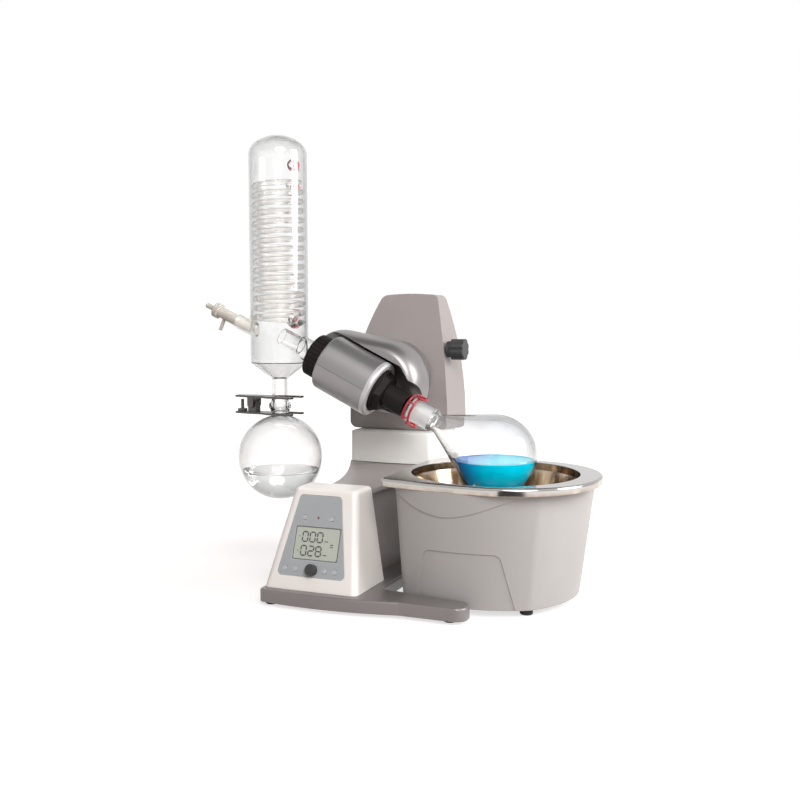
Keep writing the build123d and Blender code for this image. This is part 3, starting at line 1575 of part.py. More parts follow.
with BuildPart() as heating_element:
    with BuildSketch(pot_plane):
        with Locations((heater_radius, pot_floor - pot_wall - heater_tube - seat_gap)):
            Circle(heater_tube)
    revolve(axis=pot_axis)
heating_element.part.label = "heating_element"

with BuildPart() as bath_base:
    base_plan = housing_plan(housing_low, housing_bottom, -(housing_wall + seat_gap))
    extrude(base_plan, amount=bath_base_thickness)
    heater_bottom = pot_floor - pot_wall - 2 * heater_tube - seat_gap
    with BuildSketch(Plane.XY.offset(housing_bottom)):
        with Locations((bath_x, 0)):
            with PolarLocations(heater_radius, heater_posts, start_angle=heater_post_turn):
                Circle(heater_tube)
    extrude(amount=heater_bottom - seat_gap - housing_bottom)
bath_base.part.label = "bath_base"

with BuildPart() as bath_feet:
    with BuildSketch(Plane.XY):
        with Locations((bath_x, 0)):
            with GridLocations(bath_foot_pitch, bath_foot_pitch, 2, 2):
                Circle(bath_foot_radius)
    extrude(amount=housing_bottom)
    chamfer(bath_feet.edges().group_by(Axis.Z)[0], housing_bottom / 8)
bath_feet.part.label = "bath_feet"

# Mains inlet and rocker switch on the back of the pedestal
core_back = pedestal_back - core_inset
with BuildPart() as power_inlet:
    with BuildSketch(Plane.XZ.offset(-core_back)):
        with Locations((inlet_x, inlet_z)):
            RectangleRounded(inlet_width, inlet_height, inlet_pocket)
    extrude(amount=-inlet_proud)
    with BuildSketch(Plane.XZ.offset(-core_back)):
        with Locations((inlet_x, inlet_z)):
            Rectangle(inlet_width - 2 * inlet_pocket, inlet_height - 2 * inlet_pocket)
    extrude(amount=inlet_depth)
    with BuildSketch(Plane.XZ.offset(-(core_back + inlet_proud))):
        with Locations((inlet_x, inlet_z)):
            Rectangle(inlet_width - 3 * inlet_pocket, inlet_height - 3 * inlet_pocket)
    extrude(amount=inlet_depth - inlet_pocket, mode=Mode.SUBTRACT)
power_inlet.part.label = "power_inlet"

rocker_dip = switch_height / 2 * tan(radians(switch_swing))
with BuildPart() as power_switch:
    with BuildSketch(Plane.YZ.offset(switch_x - switch_width / 2)):
        with BuildLine():
            Polyline(
                (core_back - wall / 2, inlet_z - switch_height / 2 + wall),
                (core_back + switch_proud, inlet_z - switch_height / 2),
                (core_back + switch_proud - rocker_dip, inlet_z),
                (core_back + switch_proud, inlet_z + switch_height / 2),
                (core_back - wall / 2, inlet_z + switch_height / 2 - wall),
                close=True,
            )
        make_face()
    extrude(amount=switch_width)
power_switch.part.label = "power_switch"

# Every finished piece, moved together so that the origin is the middle of the footprint
pieces = [
    base_plate, base_feet, control_housing, control_panel, display_screen, control_board, selector_knob,
    pedestal_body, pedestal_collar, mast, guide_rods, lift_motor, lift_screw, power_inlet, power_switch,
    carriage_block, guide_bushes, lift_nut, tower_cover, tower_back_cover, tilt_knob,
    head_arm, tilt_shaft, head_upper_shell, head_lower_shell, head_bezel, bearing_frame, hub_bearings,
    shaft_seal, drive_motor, motor_pulley, drive_belt, drive_hub, hub_pulley, clamp_ring,
    ejector_nut, ejector_sleeve, vapour_tube, evaporating_flask, flask_clip,
    condenser_jacket, cooling_coil, hose_caps, hose_nozzles, receiving_flask,
    clamp_lower_jaw, clamp_upper_jaw, clamp_screw, feed_valve,
    bath_housing, bath_pot, heating_element, bath_base, bath_feet,
] + buttons
whole = Compound(children=[Compound(piece.part.wrapped) for piece in pieces]).bounding_box()
shift = Vector(-(whole.min.X + whole.max.X) / 2, -(whole.min.Y + whole.max.Y) / 2, -whole.min.Z)
os.makedirs("parts", exist_ok=True)
for piece in pieces:
    name = piece.part.label
    placed = piece.part.moved(Location(shift))
    placed.label = name
    export_step(placed, f"parts/{name}.step")
print("pieces", len(pieces), "size", whole.size, "shift", shift)
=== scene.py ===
# %% [markdown]
# # A bench rotary evaporator, dressed around its CAD frame
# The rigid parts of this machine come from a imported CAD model: a lift stand, a tilting drive head,
# glassware and a heating bath. Blender adds what a drawing leaves out: paint, moulded plastic,
# polished steel, glass, liquids, the figures on the display and the small hardware.
# We load the CAD model first, because every later piece takes its place from it.

import json
import math

import bmesh
import bpy
from mathutils import Matrix, Vector


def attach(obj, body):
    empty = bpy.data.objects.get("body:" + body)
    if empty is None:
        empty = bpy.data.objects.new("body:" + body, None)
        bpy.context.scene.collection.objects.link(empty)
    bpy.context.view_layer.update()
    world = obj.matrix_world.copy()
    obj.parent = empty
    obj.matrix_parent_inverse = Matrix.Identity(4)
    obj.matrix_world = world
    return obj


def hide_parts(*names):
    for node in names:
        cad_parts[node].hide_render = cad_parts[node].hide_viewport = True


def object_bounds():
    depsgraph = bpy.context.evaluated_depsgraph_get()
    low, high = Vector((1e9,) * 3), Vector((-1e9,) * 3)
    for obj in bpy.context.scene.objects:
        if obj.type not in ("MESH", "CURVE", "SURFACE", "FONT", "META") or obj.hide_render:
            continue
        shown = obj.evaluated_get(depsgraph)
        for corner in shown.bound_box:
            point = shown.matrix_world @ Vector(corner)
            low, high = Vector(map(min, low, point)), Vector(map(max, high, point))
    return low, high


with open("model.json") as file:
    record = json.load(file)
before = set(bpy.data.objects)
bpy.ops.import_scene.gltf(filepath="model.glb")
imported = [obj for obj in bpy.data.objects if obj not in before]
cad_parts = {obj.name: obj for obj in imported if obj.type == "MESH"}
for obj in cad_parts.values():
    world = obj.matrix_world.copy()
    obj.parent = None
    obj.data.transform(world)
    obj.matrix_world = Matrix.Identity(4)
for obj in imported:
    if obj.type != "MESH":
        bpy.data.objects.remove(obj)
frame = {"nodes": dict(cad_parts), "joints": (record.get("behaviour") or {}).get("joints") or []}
cad_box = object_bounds()
nodes = frame["nodes"]
joints = {joint["name"]: joint for joint in frame["joints"]}
print("CAD nodes:", len(nodes), "joints:", len(joints))

# %% [markdown]
# ## One way of saying where things are
# The glassware of a rotary evaporator lies in one upright plane, and the drive head tilts about a pin
# in that plane. Measuring from the pin keeps every place easy to read, so a small function turns
# millimetres from the pin's foot into Blender's metres. Two more follow the slanted drive axis and
# the leaning front of the control box. The joints of the frame give all three directions.

# %% Places measured from the tilt pin, the drive axis and the control face
MM = 0.001
tilt_pin = Vector(joints["head_tilt"]["pos_m"])
drive_axis = Vector(joints["rotor_spin"]["axis"]).normalized()
face_out = Vector(joints["selector_turn"]["axis"]).normalized()
face_up = face_out.cross(Vector((1, 0, 0))).normalized()
if face_up.z < 0:
    face_up = -face_up
pin_foot = Vector((tilt_pin.x, tilt_pin.y, 0))
selector_foot = Vector(joints["selector_turn"]["pos_m"])


def at(x, y, z):
    """The place x, y, z millimetres from the foot of the tilt pin."""
    return pin_foot + Vector((x, y, z)) * MM


def on_drive(along, radius=0.0, turn=0.0):
    """A place along the drive axis, out by a radius at a turn in degrees from the +Y side."""
    side = Vector((0, 1, 0))
    upper = side.cross(drive_axis).normalized()
    angle = math.radians(turn)
    return tilt_pin + (drive_axis * along + (side * math.cos(angle) + upper * math.sin(angle)) * radius) * MM


def on_face(right, up, out=0.0):
    """A place on the control face, in millimetres from the selector's centre."""
    return selector_foot + (Vector((right, 0, 0)) + face_up * up + face_out * out) * MM


print("tilt pin", tuple(round(v, 4) for v in tilt_pin))

# %% [markdown]
# ## Helpers for nodes and groups
# A material is a small program of nodes. One helper adds a node and fills its sockets with numbers or
# links, another starts a node group with named sockets, and a third places a finished group in a
# material. Blender's Mix node has sockets for numbers, vectors and colours under the same names, so
# the colour ones are picked by their number.

# %% Node helpers
def add(tree, kind, inputs=None, **settings):
    """A new node with its settings, and its inputs filled by values or by other nodes' sockets."""
    made = tree.nodes.new(kind)
    for name, value in settings.items():
        setattr(made, name, value)
    for name, value in (inputs or {}).items():
        if isinstance(value, bpy.types.NodeSocket):
            tree.links.new(value, made.inputs[name])
        else:
            made.inputs[name].default_value = value
    return made


def start_group(name, inputs, outputs):
    """An empty shader group with named inputs (name, kind, value) and outputs (name, kind)."""
    tree = bpy.data.node_groups.new(name, "ShaderNodeTree")
    for label, kind, value in inputs:
        tree.interface.new_socket(label, in_out="INPUT", socket_type=kind).default_value = value
    for label, kind in outputs:
        tree.interface.new_socket(label, in_out="OUTPUT", socket_type=kind)
    return tree, tree.nodes.new("NodeGroupInput"), tree.nodes.new("NodeGroupOutput")


def use(tree, group, inputs):
    """A finished group placed in a material, with its own values."""
    return add(tree, "ShaderNodeGroup", inputs, node_tree=group)


FLOAT, COLOUR, VECTOR = "NodeSocketFloat", "NodeSocketColor", "NodeSocketVector"
MIX_A, MIX_B, MIX_RESULT = 6, 7, 2
print("node helpers ready")

# %% [markdown]
# ## Helpers for meshes
# The hardware here is turned on a lathe, bent from rod or moulded. Each way of making has its own
# helper: a profile is spun round an axis, a smooth line gets a round section, and a row of outlines
# gets a skin. Every piece then rides on a CAD body, so that it moves when the machine does.


# %% Mesh helpers
def show(name, mesh, body, material, smooth=True):
    """A mesh made into a piece of the object: it rides on a body and has a material."""
    piece = bpy.data.objects.new(name, mesh)
    bpy.context.scene.collection.objects.link(piece)
    mesh.materials.append(material)
    if smooth:
        mesh.shade_smooth()
        mesh.set_sharp_from_angle(angle=math.radians(35))
    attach(piece, body)
    return piece


def turned(name, profile, place, along, body, material, segments=64):
    """A turned piece: profile is (distance along the axis, radius) pairs in millimetres."""
    along = Vector(along).normalized()
    form = bmesh.new()
    corners = [form.verts.new((radius * MM, 0, far * MM)) for far, radius in profile]
    edges = [form.edges.new(pair) for pair in zip(corners, corners[1:])]
    bmesh.ops.spin(form, geom=corners + edges, cent=(0, 0, 0), axis=(0, 0, 1),
                   angle=math.tau, steps=segments, use_duplicate=False)
    bmesh.ops.remove_doubles(form, verts=form.verts, dist=1e-7)
    bmesh.ops.recalc_face_normals(form, faces=form.faces)
    turn = Vector((0, 0, 1)).rotation_difference(along).to_matrix().to_4x4()
    form.transform(Matrix.Translation(place) @ turn)
    mesh = bpy.data.meshes.new(name)
    form.to_mesh(mesh)
    form.free()
    return show(name, mesh, body, material)


def rounded_loop(left, right, low, high, corner, steps=10):
    """Points round a rectangle with rounded corners, in its own plane."""
    points = []
    for x, y, start in ((right - corner, high - corner, 0), (left + corner, high - corner, 90),
                        (left + corner, low + corner, 180), (right - corner, low + corner, 270)):
        for step in range(steps + 1):
            angle = math.radians(start + 90 * step / steps)
            points.append((x + corner * math.cos(angle), y + corner * math.sin(angle)))
    return points


def skin(name, loops):
    """A closed mesh through loops of equal length, capped at both ends."""
    form = bmesh.new()
    rows = [[form.verts.new(place) for place in loop] for loop in loops]
    for near, far in zip(rows, rows[1:]):
        for i in range(len(near)):
            form.faces.new((near[i], near[i - 1], far[i - 1], far[i]))
    form.faces.new(rows[0])
    form.faces.new(rows[-1])
    bmesh.ops.recalc_face_normals(form, faces=form.faces)
    mesh = bpy.data.meshes.new(name)
    form.to_mesh(mesh)
    form.free()
    return mesh


def smooth_rows(rows, steps):
    """Rows of numbers with smooth steps (a Catmull-Rom line) filled in between them."""
    filled = []
    last = len(rows) - 1
    for i in range(last):
        around = (rows[max(i - 1, 0)], rows[i], rows[i + 1], rows[min(i + 2, last)])
        for step in range(steps):
            u = step / steps
            filled.append([0.5 * (2 * b + (c - a) * u + (2 * a - 5 * b + 4 * c - d) * u ** 2
                                  + (3 * b - a - 3 * c + d) * u ** 3) for a, b, c, d in zip(*around)])
    filled.append(list(rows[last]))
    return filled


def bent_rod(name, points, radius, body, material, closed=False, order=3):
    """A round rod along a smooth line through its control points."""
    line = bpy.data.curves.new(name, "CURVE")
    line.dimensions = "3D"
    line.bevel_depth = radius * MM
    line.bevel_resolution = 4
    line.resolution_u = 8
    line.use_fill_caps = True
    spline = line.splines.new("NURBS")
    spline.points.add(len(points) - 1)
    for knot, place in zip(spline.points, points):
        knot.co = (*place, 1)
    spline.use_cyclic_u = closed
    spline.order_u = order
    spline.use_endpoint_u = not closed
    piece = bpy.data.objects.new(name, line)
    bpy.context.scene.collection.objects.link(piece)
    line.materials.append(material)
    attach(piece, body)
    return piece


print("mesh helpers ready")

# %% [markdown]
# ## Effects that several finishes share
# Real paint and moulded plastic are never one flat tone. Each effect that several finishes share is
# one shader group with named sockets, so every material can place it with values of its own. Image
# textures would need files and layouts, while procedural noise follows the object's own metres.
# The first effect is a cloudy drift: sprayed paint is a little thicker in one place than in another.

# %% Group: cloudy tone
def make_cloudy_tone():
    tree, given, result = start_group(
        "cloudy_tone",
        [("Colour", COLOUR, (0.5, 0.5, 0.5, 1)), ("Roughness", FLOAT, 0.4),
         ("Scale", FLOAT, 20), ("Spread", FLOAT, 0.05)],
        [("Colour", COLOUR), ("Roughness", FLOAT)],
    )
    place = add(tree, "ShaderNodeTexCoord")
    cloud = add(tree, "ShaderNodeTexNoise",
                {"Vector": place.outputs["Object"], "Scale": given.outputs["Scale"], "Detail": 4.0})
    centred = add(tree, "ShaderNodeMath", {0: cloud.outputs["Fac"], 1: 0.5}, operation="SUBTRACT")
    drift = add(tree, "ShaderNodeMath", {0: centred.outputs[0], 1: given.outputs["Spread"], 2: 1.0},
                operation="MULTIPLY_ADD")
    toned = add(tree, "ShaderNodeVectorMath", {0: given.outputs["Colour"]}, operation="SCALE")
    tree.links.new(drift.outputs[0], toned.inputs["Scale"])
    rough = add(tree, "ShaderNodeMath", {0: given.outputs["Roughness"], 1: drift.outputs[0]},
                operation="MULTIPLY")
    tree.links.new(toned.outputs["Vector"], result.inputs["Colour"])
    tree.links.new(rough.outputs[0], result.inputs["Roughness"])
    return tree


cloudy_tone = make_cloudy_tone()
print("group", cloudy_tone.name)

# %% [markdown]
# ### Fine grain
# Moulds are etched and metal is brushed, so a highlight is never quite smooth. Fine noise gives the
# height for a Bump node, and a stretch squeezes it into lines along the working direction.


# %% Group: fine grain
def make_fine_grain():
    tree, given, result = start_group(
        "fine_grain", [("Scale", FLOAT, 900), ("Stretch", VECTOR, (1, 1, 1))], [("Height", FLOAT)]
    )
    place = add(tree, "ShaderNodeTexCoord")
    stretched = add(tree, "ShaderNodeVectorMath",
                    {0: place.outputs["Object"], 1: given.outputs["Stretch"]}, operation="MULTIPLY")
    grain = add(tree, "ShaderNodeTexNoise", {"Vector": stretched.outputs["Vector"],
                                             "Scale": given.outputs["Scale"], "Detail": 2.0})
    tree.links.new(grain.outputs["Fac"], result.inputs["Height"])
    return tree


fine_grain = make_fine_grain()
print("group", fine_grain.name)

# %% [markdown]
# ### Edge highlights
# The Bevel node rounds the normal near an edge, and where it departs from the true normal an edge is
# near. That difference is the mask for a painted highlight along the edges, and the rounded normal
# goes on to the shading.


# %% Group: edge highlight and bevel
def make_edge_highlight_bevel():
    tree, given, result = start_group(
        "edge_highlight_bevel", [("Radius", FLOAT, 0.001), ("Gain", FLOAT, 6.0)],
        [("Mask", FLOAT), ("Normal", VECTOR)],
    )
    rounded = add(tree, "ShaderNodeBevel", {"Radius": given.outputs["Radius"]}, samples=4)
    surface = add(tree, "ShaderNodeNewGeometry")
    level = add(tree, "ShaderNodeVectorMath",
                {0: rounded.outputs["Normal"], 1: surface.outputs["Normal"]}, operation="DOT_PRODUCT")
    lost = add(tree, "ShaderNodeMath", {0: 1.0, 1: level.outputs["Value"]}, operation="SUBTRACT")
    mask = add(tree, "ShaderNodeMath", {0: lost.outputs[0], 1: given.outputs["Gain"]},
               operation="MULTIPLY", use_clamp=True)
    tree.links.new(mask.outputs[0], result.inputs["Mask"])
    tree.links.new(rounded.outputs["Normal"], result.inputs["Normal"])
    return tree


edge_highlight_bevel = make_edge_highlight_bevel()
print("group", edge_highlight_bevel.name)

# %% [markdown]
# ### A band along a line
# Ground joints, seams and the depth of a liquid all lie between two planes across a line. The dot
# product of the place and the line's direction says how far along it a point lies.


# %% Group: band along a line
def make_band():
    tree, given, result = start_group(
        "band_along_line",
        [("Origin", VECTOR, (0, 0, 0)), ("Direction", VECTOR, (0, 0, 1)), ("From", FLOAT, 0),
         ("To", FLOAT, 1), ("Soft", FLOAT, 0.001)],
        [("Mask", FLOAT)],
    )
    place = add(tree, "ShaderNodeTexCoord")
    offset = add(tree, "ShaderNodeVectorMath",
                 {0: place.outputs["Object"], 1: given.outputs["Origin"]}, operation="SUBTRACT")
    far = add(tree, "ShaderNodeVectorMath",
              {0: offset.outputs["Vector"], 1: given.outputs["Direction"]}, operation="DOT_PRODUCT")
    masks = []
    for bound, first in (("From", True), ("To", False)):
        past = add(tree, "ShaderNodeMath",
                   {0: far.outputs["Value"] if first else given.outputs[bound],
                    1: given.outputs[bound] if first else far.outputs["Value"]}, operation="SUBTRACT")
        masks.append(add(tree, "ShaderNodeMath", {0: past.outputs[0], 1: given.outputs["Soft"]},
                         operation="DIVIDE", use_clamp=True))
    both = add(tree, "ShaderNodeMath", {0: masks[0].outputs[0], 1: masks[1].outputs[0]},
               operation="MULTIPLY")
    tree.links.new(both.outputs[0], result.inputs["Mask"])
    return tree


band_along_line = make_band()
print("group", band_along_line.name)

# %% [markdown]
# ## Opaque finishes
# Most of the machine is sprayed metal or moulded plastic. One function builds such a finish from the
# shared groups: tone and roughness drift with the clouds, a painted highlight makes the edges a little
# lighter, and the grain goes through a Bump node into the normal. Each finish below gives its own
# colour, gloss and grain.

# %% Opaque finish
def opaque(name, colour, roughness, metallic=0.0, coat=0.0, cloud=(14, 0.12), grain=(1400, 0.12),
           stretch=(1, 1, 1), edge=(0.0012, 0.25), edge_colour=None, shine=0.5):
    """A painted, moulded or metal finish; cloud and grain are (scale, amount), edge (radius, share)."""
    material = bpy.data.materials.new(name)
    material.use_nodes = True
    tree = material.node_tree
    shader = tree.nodes["Principled BSDF"]
    tone = use(tree, cloudy_tone, {"Colour": (*colour, 1), "Roughness": roughness,
                                   "Scale": cloud[0], "Spread": cloud[1]})
    edges = use(tree, edge_highlight_bevel, {"Radius": edge[0]})
    # Edges are mixed towards a lighter colour: a painted highlight along each edge.
    lighter = edge_colour or [min(1, c * 1.5 + 0.04) for c in colour]
    share = add(tree, "ShaderNodeMath", {0: edges.outputs["Mask"], 1: edge[1]}, operation="MULTIPLY")
    edge_highlighted = add(tree, "ShaderNodeMix", {"Factor": share.outputs[0]}, data_type="RGBA")
    tree.links.new(tone.outputs["Colour"], edge_highlighted.inputs[MIX_A])
    edge_highlighted.inputs[MIX_B].default_value = (*lighter, 1)
    tree.links.new(edge_highlighted.outputs[MIX_RESULT], shader.inputs["Base Color"])
    tree.links.new(tone.outputs["Roughness"], shader.inputs["Roughness"])
    relief = use(tree, fine_grain, {"Scale": grain[0], "Stretch": stretch})
    bump = add(tree, "ShaderNodeBump", {"Height": relief.outputs["Height"], "Strength": grain[1],
                                        "Distance": 0.0002, "Normal": edges.outputs["Normal"]})
    tree.links.new(bump.outputs["Normal"], shader.inputs["Normal"])
    shader.inputs["Metallic"].default_value = metallic
    shader.inputs["Coat Weight"].default_value = coat
    shader.inputs["Specular IOR Level"].default_value = shine
    return material


def add_seam(material, origin, direction, half):
    """Darkens a paint along a thin line where two shells meet, a plane through an origin."""
    tree = material.node_tree
    shader = tree.nodes["Principled BSDF"]
    plain = shader.inputs["Base Color"].links[0].from_socket
    line = use(tree, band_along_line, {"Origin": origin, "Direction": direction, "From": -half, "To": half,
                                       "Soft": half})
    joined = add(tree, "ShaderNodeMix", {"Factor": line.outputs["Mask"]}, data_type="RGBA")
    tree.links.new(plain, joined.inputs[MIX_A])
    joined.inputs[MIX_B].default_value = (0.03, 0.028, 0.028, 1)
    tree.links.new(joined.outputs[MIX_RESULT], shader.inputs["Base Color"])


def wear(material, *names):
    """Gives the CAD nodes with these names a material."""
    for name in names:
        nodes[name].data.materials.clear()
        nodes[name].data.materials.append(material)
        nodes[name].data.shade_smooth()
        nodes[name].data.set_sharp_from_angle(angle=math.radians(30))


stand_paint = opaque("stand_paint", (0.315, 0.28, 0.27), 0.42, coat=0.15)
collar_paint = opaque("collar_paint", (0.93, 0.91, 0.875), 0.42, coat=0.1)
box_plastic = opaque("box_plastic", (0.87, 0.83, 0.795), 0.38, grain=(2200, 0.1), coat=0.1)
panel_film = opaque("panel_film", (0.37, 0.395, 0.41), 0.45, grain=(3000, 0.2), edge=(0.002, 0.8),
                    edge_colour=(0.82, 0.83, 0.84))
button_cap = opaque("button_cap", (0.47, 0.495, 0.515), 0.4, grain=(2500, 0.1))
dark_plastic = opaque("dark_plastic", (0.05, 0.05, 0.052), 0.5, grain=(1800, 0.3), shine=0.3)
plate_finish = opaque("plate_finish", (0.21, 0.19, 0.187), 0.36, metallic=0.45, coat=0.15,
                      edge=(0.002, 0.6))
foot_rubber = opaque("foot_rubber", (0.02, 0.02, 0.021), 0.75, grain=(900, 0.5))
head_paint = opaque("head_paint", (0.28, 0.268, 0.27), 0.36, metallic=0.7, coat=0.05)
add_seam(head_paint, tilt_pin, drive_axis.cross(Vector((0, 1, 0))), 0.5 * MM)
hood_paint = opaque("hood_paint", (0.25, 0.238, 0.236), 0.36, metallic=0.7, coat=0.05)
bezel_paint = opaque("bezel_paint", (0.52, 0.515, 0.52), 0.36, metallic=0.35, coat=0.15)
bath_plastic = opaque("bath_plastic", (0.42, 0.405, 0.395), 0.45, grain=(1600, 0.25))
ring_plastic = opaque("ring_plastic", (0.011, 0.009, 0.008), 0.55, grain=(1500, 0.3), shine=0.12)
valve_plastic = opaque("valve_plastic", (0.53, 0.49, 0.44), 0.4)
wire_red = opaque("wire_red", (0.36, 0.008, 0.018), 0.3, coat=0.2)
red_plastic = opaque("red_plastic", (0.62, 0.022, 0.045), 0.28, coat=0.4)
seal_plastic = opaque("seal_plastic", (0.80, 0.80, 0.78), 0.4)
board_lacquer = opaque("board_lacquer", (0.03, 0.16, 0.06), 0.4)
motor_paint = opaque("motor_paint", (0.05, 0.05, 0.055), 0.45)
print("opaque finishes made")

# %% [markdown]
# ## Metals
# Bare metal shows its working: turned rods have fine rings, rolled sheet has long straight lines.
# The grain group takes a stretch, which squeezes the noise along the working direction. The bath is
# drawn and polished; inside it, a warm streaked colour is a painted reflection of its own wall, so its
# colour follows the height.

# %% Metal finishes
steel = opaque("steel", (0.62, 0.61, 0.60), 0.25, metallic=1.0, stretch=(1, 1, 0.04), grain=(2500, 0.15))
cast_alloy = opaque("cast_alloy", (0.56, 0.56, 0.57), 0.45, metallic=0.9, grain=(700, 0.4))
bronze = opaque("bronze", (0.60, 0.40, 0.17), 0.32, metallic=1.0)
clamp_metal = opaque("clamp_metal", (0.10, 0.095, 0.09), 0.3, metallic=0.8, edge=(0.0008, 0.6))
print("metal finishes made")


def make_bath_steel():
    """Polished sheet, with a painted reflection of its own far wall inside it: warm and streaked."""
    material = opaque("bath_steel", (0.41, 0.398, 0.382), 0.11, metallic=1.0, grain=(1200, 0.06),
                      stretch=(1, 1, 0.1))
    tree = material.node_tree
    shader = tree.nodes["Principled BSDF"]
    neutral = shader.inputs["Base Color"].links[0].from_socket
    streaks = use(tree, fine_grain, {"Scale": 55, "Stretch": (1, 1, 0.03)})
    contrast = add(tree, "ShaderNodeMapRange",
                   {"Value": streaks.outputs["Height"], "From Min": 0.38, "From Max": 0.62})
    # Painted reflection: warm streaks inside the pot stand in for its own far wall mirrored in the steel.
    warm = add(tree, "ShaderNodeMix", {"Factor": contrast.outputs["Result"]}, data_type="RGBA")
    warm.inputs[MIX_A].default_value = (0.16, 0.10, 0.055, 1)
    warm.inputs[MIX_B].default_value = (0.55, 0.41, 0.27, 1)
    inside = use(tree, band_along_line, {"Origin": (0, 0, 0.176), "Direction": (0, 0, -1), "From": 0.0,
                                         "To": 0.3, "Soft": 0.012})
    sheet = add(tree, "ShaderNodeMix", {"Factor": inside.outputs["Mask"]}, data_type="RGBA")
    tree.links.new(neutral, sheet.inputs[MIX_A])
    tree.links.new(warm.outputs[MIX_RESULT], sheet.inputs[MIX_B])
    tree.links.new(sheet.outputs[MIX_RESULT], shader.inputs["Base Color"])
    return material


bath_steel = make_bath_steel()

# %% [markdown]
# ## Glass
# Laboratory glass is clear, with an index of refraction near 1.47, and looks dark only at its edges,
# where light is bent away. The Principled shader's transmission gives that by itself on real wall
# thickness, and a Layer Weight adds painted shade, deepening the tint towards the edges. The ground
# joints are frosted: there a band along the joint's axis raises the roughness. For shadows the glass
# turns see-through, since light focused by it would need far more samples.

# %% Glass
def make_glass(name, tint, edge_tint, frost=None):
    """Clear glass; frost is (origin, direction, from, to) of a ground band."""
    material = bpy.data.materials.new(name)
    material.use_nodes = True
    tree = material.node_tree
    shader = tree.nodes["Principled BSDF"]
    shader.inputs["Transmission Weight"].default_value = 1.0
    shader.inputs["IOR"].default_value = 1.45
    # Painted shade: the tint darkens towards the grazing edges of the glass.
    rim = add(tree, "ShaderNodeLayerWeight", {"Blend": 0.35})
    grazing = add(tree, "ShaderNodeMath", {0: rim.outputs["Facing"], 1: 1.3}, operation="POWER")
    colour = add(tree, "ShaderNodeMix", {"Factor": grazing.outputs[0]}, data_type="RGBA")
    colour.inputs[MIX_A].default_value = (*tint, 1)
    colour.inputs[MIX_B].default_value = (*edge_tint, 1)
    tree.links.new(colour.outputs[MIX_RESULT], shader.inputs["Base Color"])
    tone = use(tree, cloudy_tone, {"Roughness": 0.012, "Scale": 30, "Spread": 0.6})
    rough = tone.outputs["Roughness"]
    if frost:
        ground = use(tree, band_along_line, {"Origin": frost[0], "Direction": frost[1],
                                             "From": frost[2], "To": frost[3], "Soft": 0.001})
        rough = add(tree, "ShaderNodeMath", {0: ground.outputs["Mask"], 1: 0.55, 2: rough},
                    operation="MULTIPLY_ADD").outputs[0]
    tree.links.new(rough, shader.inputs["Roughness"])
    ripple = use(tree, fine_grain, {"Scale": 45})
    bump = add(tree, "ShaderNodeBump", {"Height": ripple.outputs["Height"], "Strength": 0.05,
                                        "Distance": 0.001})
    tree.links.new(bump.outputs["Normal"], shader.inputs["Normal"])
    path = add(tree, "ShaderNodeLightPath")
    clear = add(tree, "ShaderNodeBsdfTransparent", {"Color": (0.94, 0.95, 0.95, 1)})
    mixed = add(tree, "ShaderNodeMixShader", {"Fac": path.outputs["Is Shadow Ray"]})
    tree.links.new(shader.outputs["BSDF"], mixed.inputs[1])
    tree.links.new(clear.outputs["BSDF"], mixed.inputs[2])
    tree.links.new(mixed.outputs["Shader"], tree.nodes["Material Output"].inputs["Surface"])
    return material


GROUND_JOINT = (88 * MM, 122 * MM)
# The dark edge tints are painted shade for the edges of the glass.
clear_tint, dark_edge = (0.98, 0.98, 0.975), (0.10, 0.10, 0.10)
jacket_glass = make_glass("jacket_glass", clear_tint, dark_edge)
coil_glass = make_glass("coil_glass", (0.87, 0.855, 0.84), (0.04, 0.04, 0.04))
joint_glass = make_glass("joint_glass", clear_tint, dark_edge, (tilt_pin, drive_axis, *GROUND_JOINT))
print("glass made")

# %% [markdown]
# ## Liquids
# A blue liquid boils in the turning flask and clear distillate gathers in the receiver. Each fills its
# flask up to a level, with a small rise at the wall as real liquids have. The colour deepens along a
# direction, because light from one side fades on its way through.


# %% Liquids
def make_liquid(name, colour, deep, origin, direction, reach, clearness):
    """A liquid whose colour deepens from an origin along a direction."""
    material = bpy.data.materials.new(name)
    material.use_nodes = True
    tree = material.node_tree
    shader = tree.nodes["Principled BSDF"]
    shader.inputs["Transmission Weight"].default_value = clearness
    shader.inputs["IOR"].default_value = 1.33
    shader.inputs["Roughness"].default_value = 0.03
    across = use(tree, band_along_line, {"Origin": origin, "Direction": direction, "From": 0.0,
                                         "To": 1.0, "Soft": reach})
    colours = add(tree, "ShaderNodeMix", {"Factor": across.outputs["Mask"]}, data_type="RGBA")
    colours.inputs[MIX_A].default_value = (*colour, 1)
    colours.inputs[MIX_B].default_value = (*deep, 1)
    tree.links.new(colours.outputs[MIX_RESULT], shader.inputs["Base Color"])
    return material


FLASK_X, FLASK_RADIUS, RECEIVER_RADIUS = 207.3, 59.0, 65.5
GLASS_WALL, LIQUID_GAP = 2.2, 0.15
CONDENSER_X, RECEIVER_HEIGHT = -140, 185
FLASK_CENTRE = tilt_pin + drive_axis * (FLASK_X * MM / drive_axis.x)
FLASK_LEVEL = FLASK_CENTRE.z - 6 * MM
blue_liquid = make_liquid("blue_liquid", (0.0, 0.62, 0.80), (0.01, 0.20, 0.55),
                          FLASK_CENTRE + Vector((0, 0, -10 * MM)), (-1, 0, 0.2), 0.04, 0.45)
RECEIVER_CENTRE = at(CONDENSER_X, 0, RECEIVER_HEIGHT)
RECEIVER_LEVEL = RECEIVER_CENTRE.z - 20 * MM
clear_liquid = make_liquid("clear_liquid", (0.95, 0.95, 0.945), (0.88, 0.89, 0.89),
                           RECEIVER_CENTRE, (0, 0, -1), 0.05, 1.0)


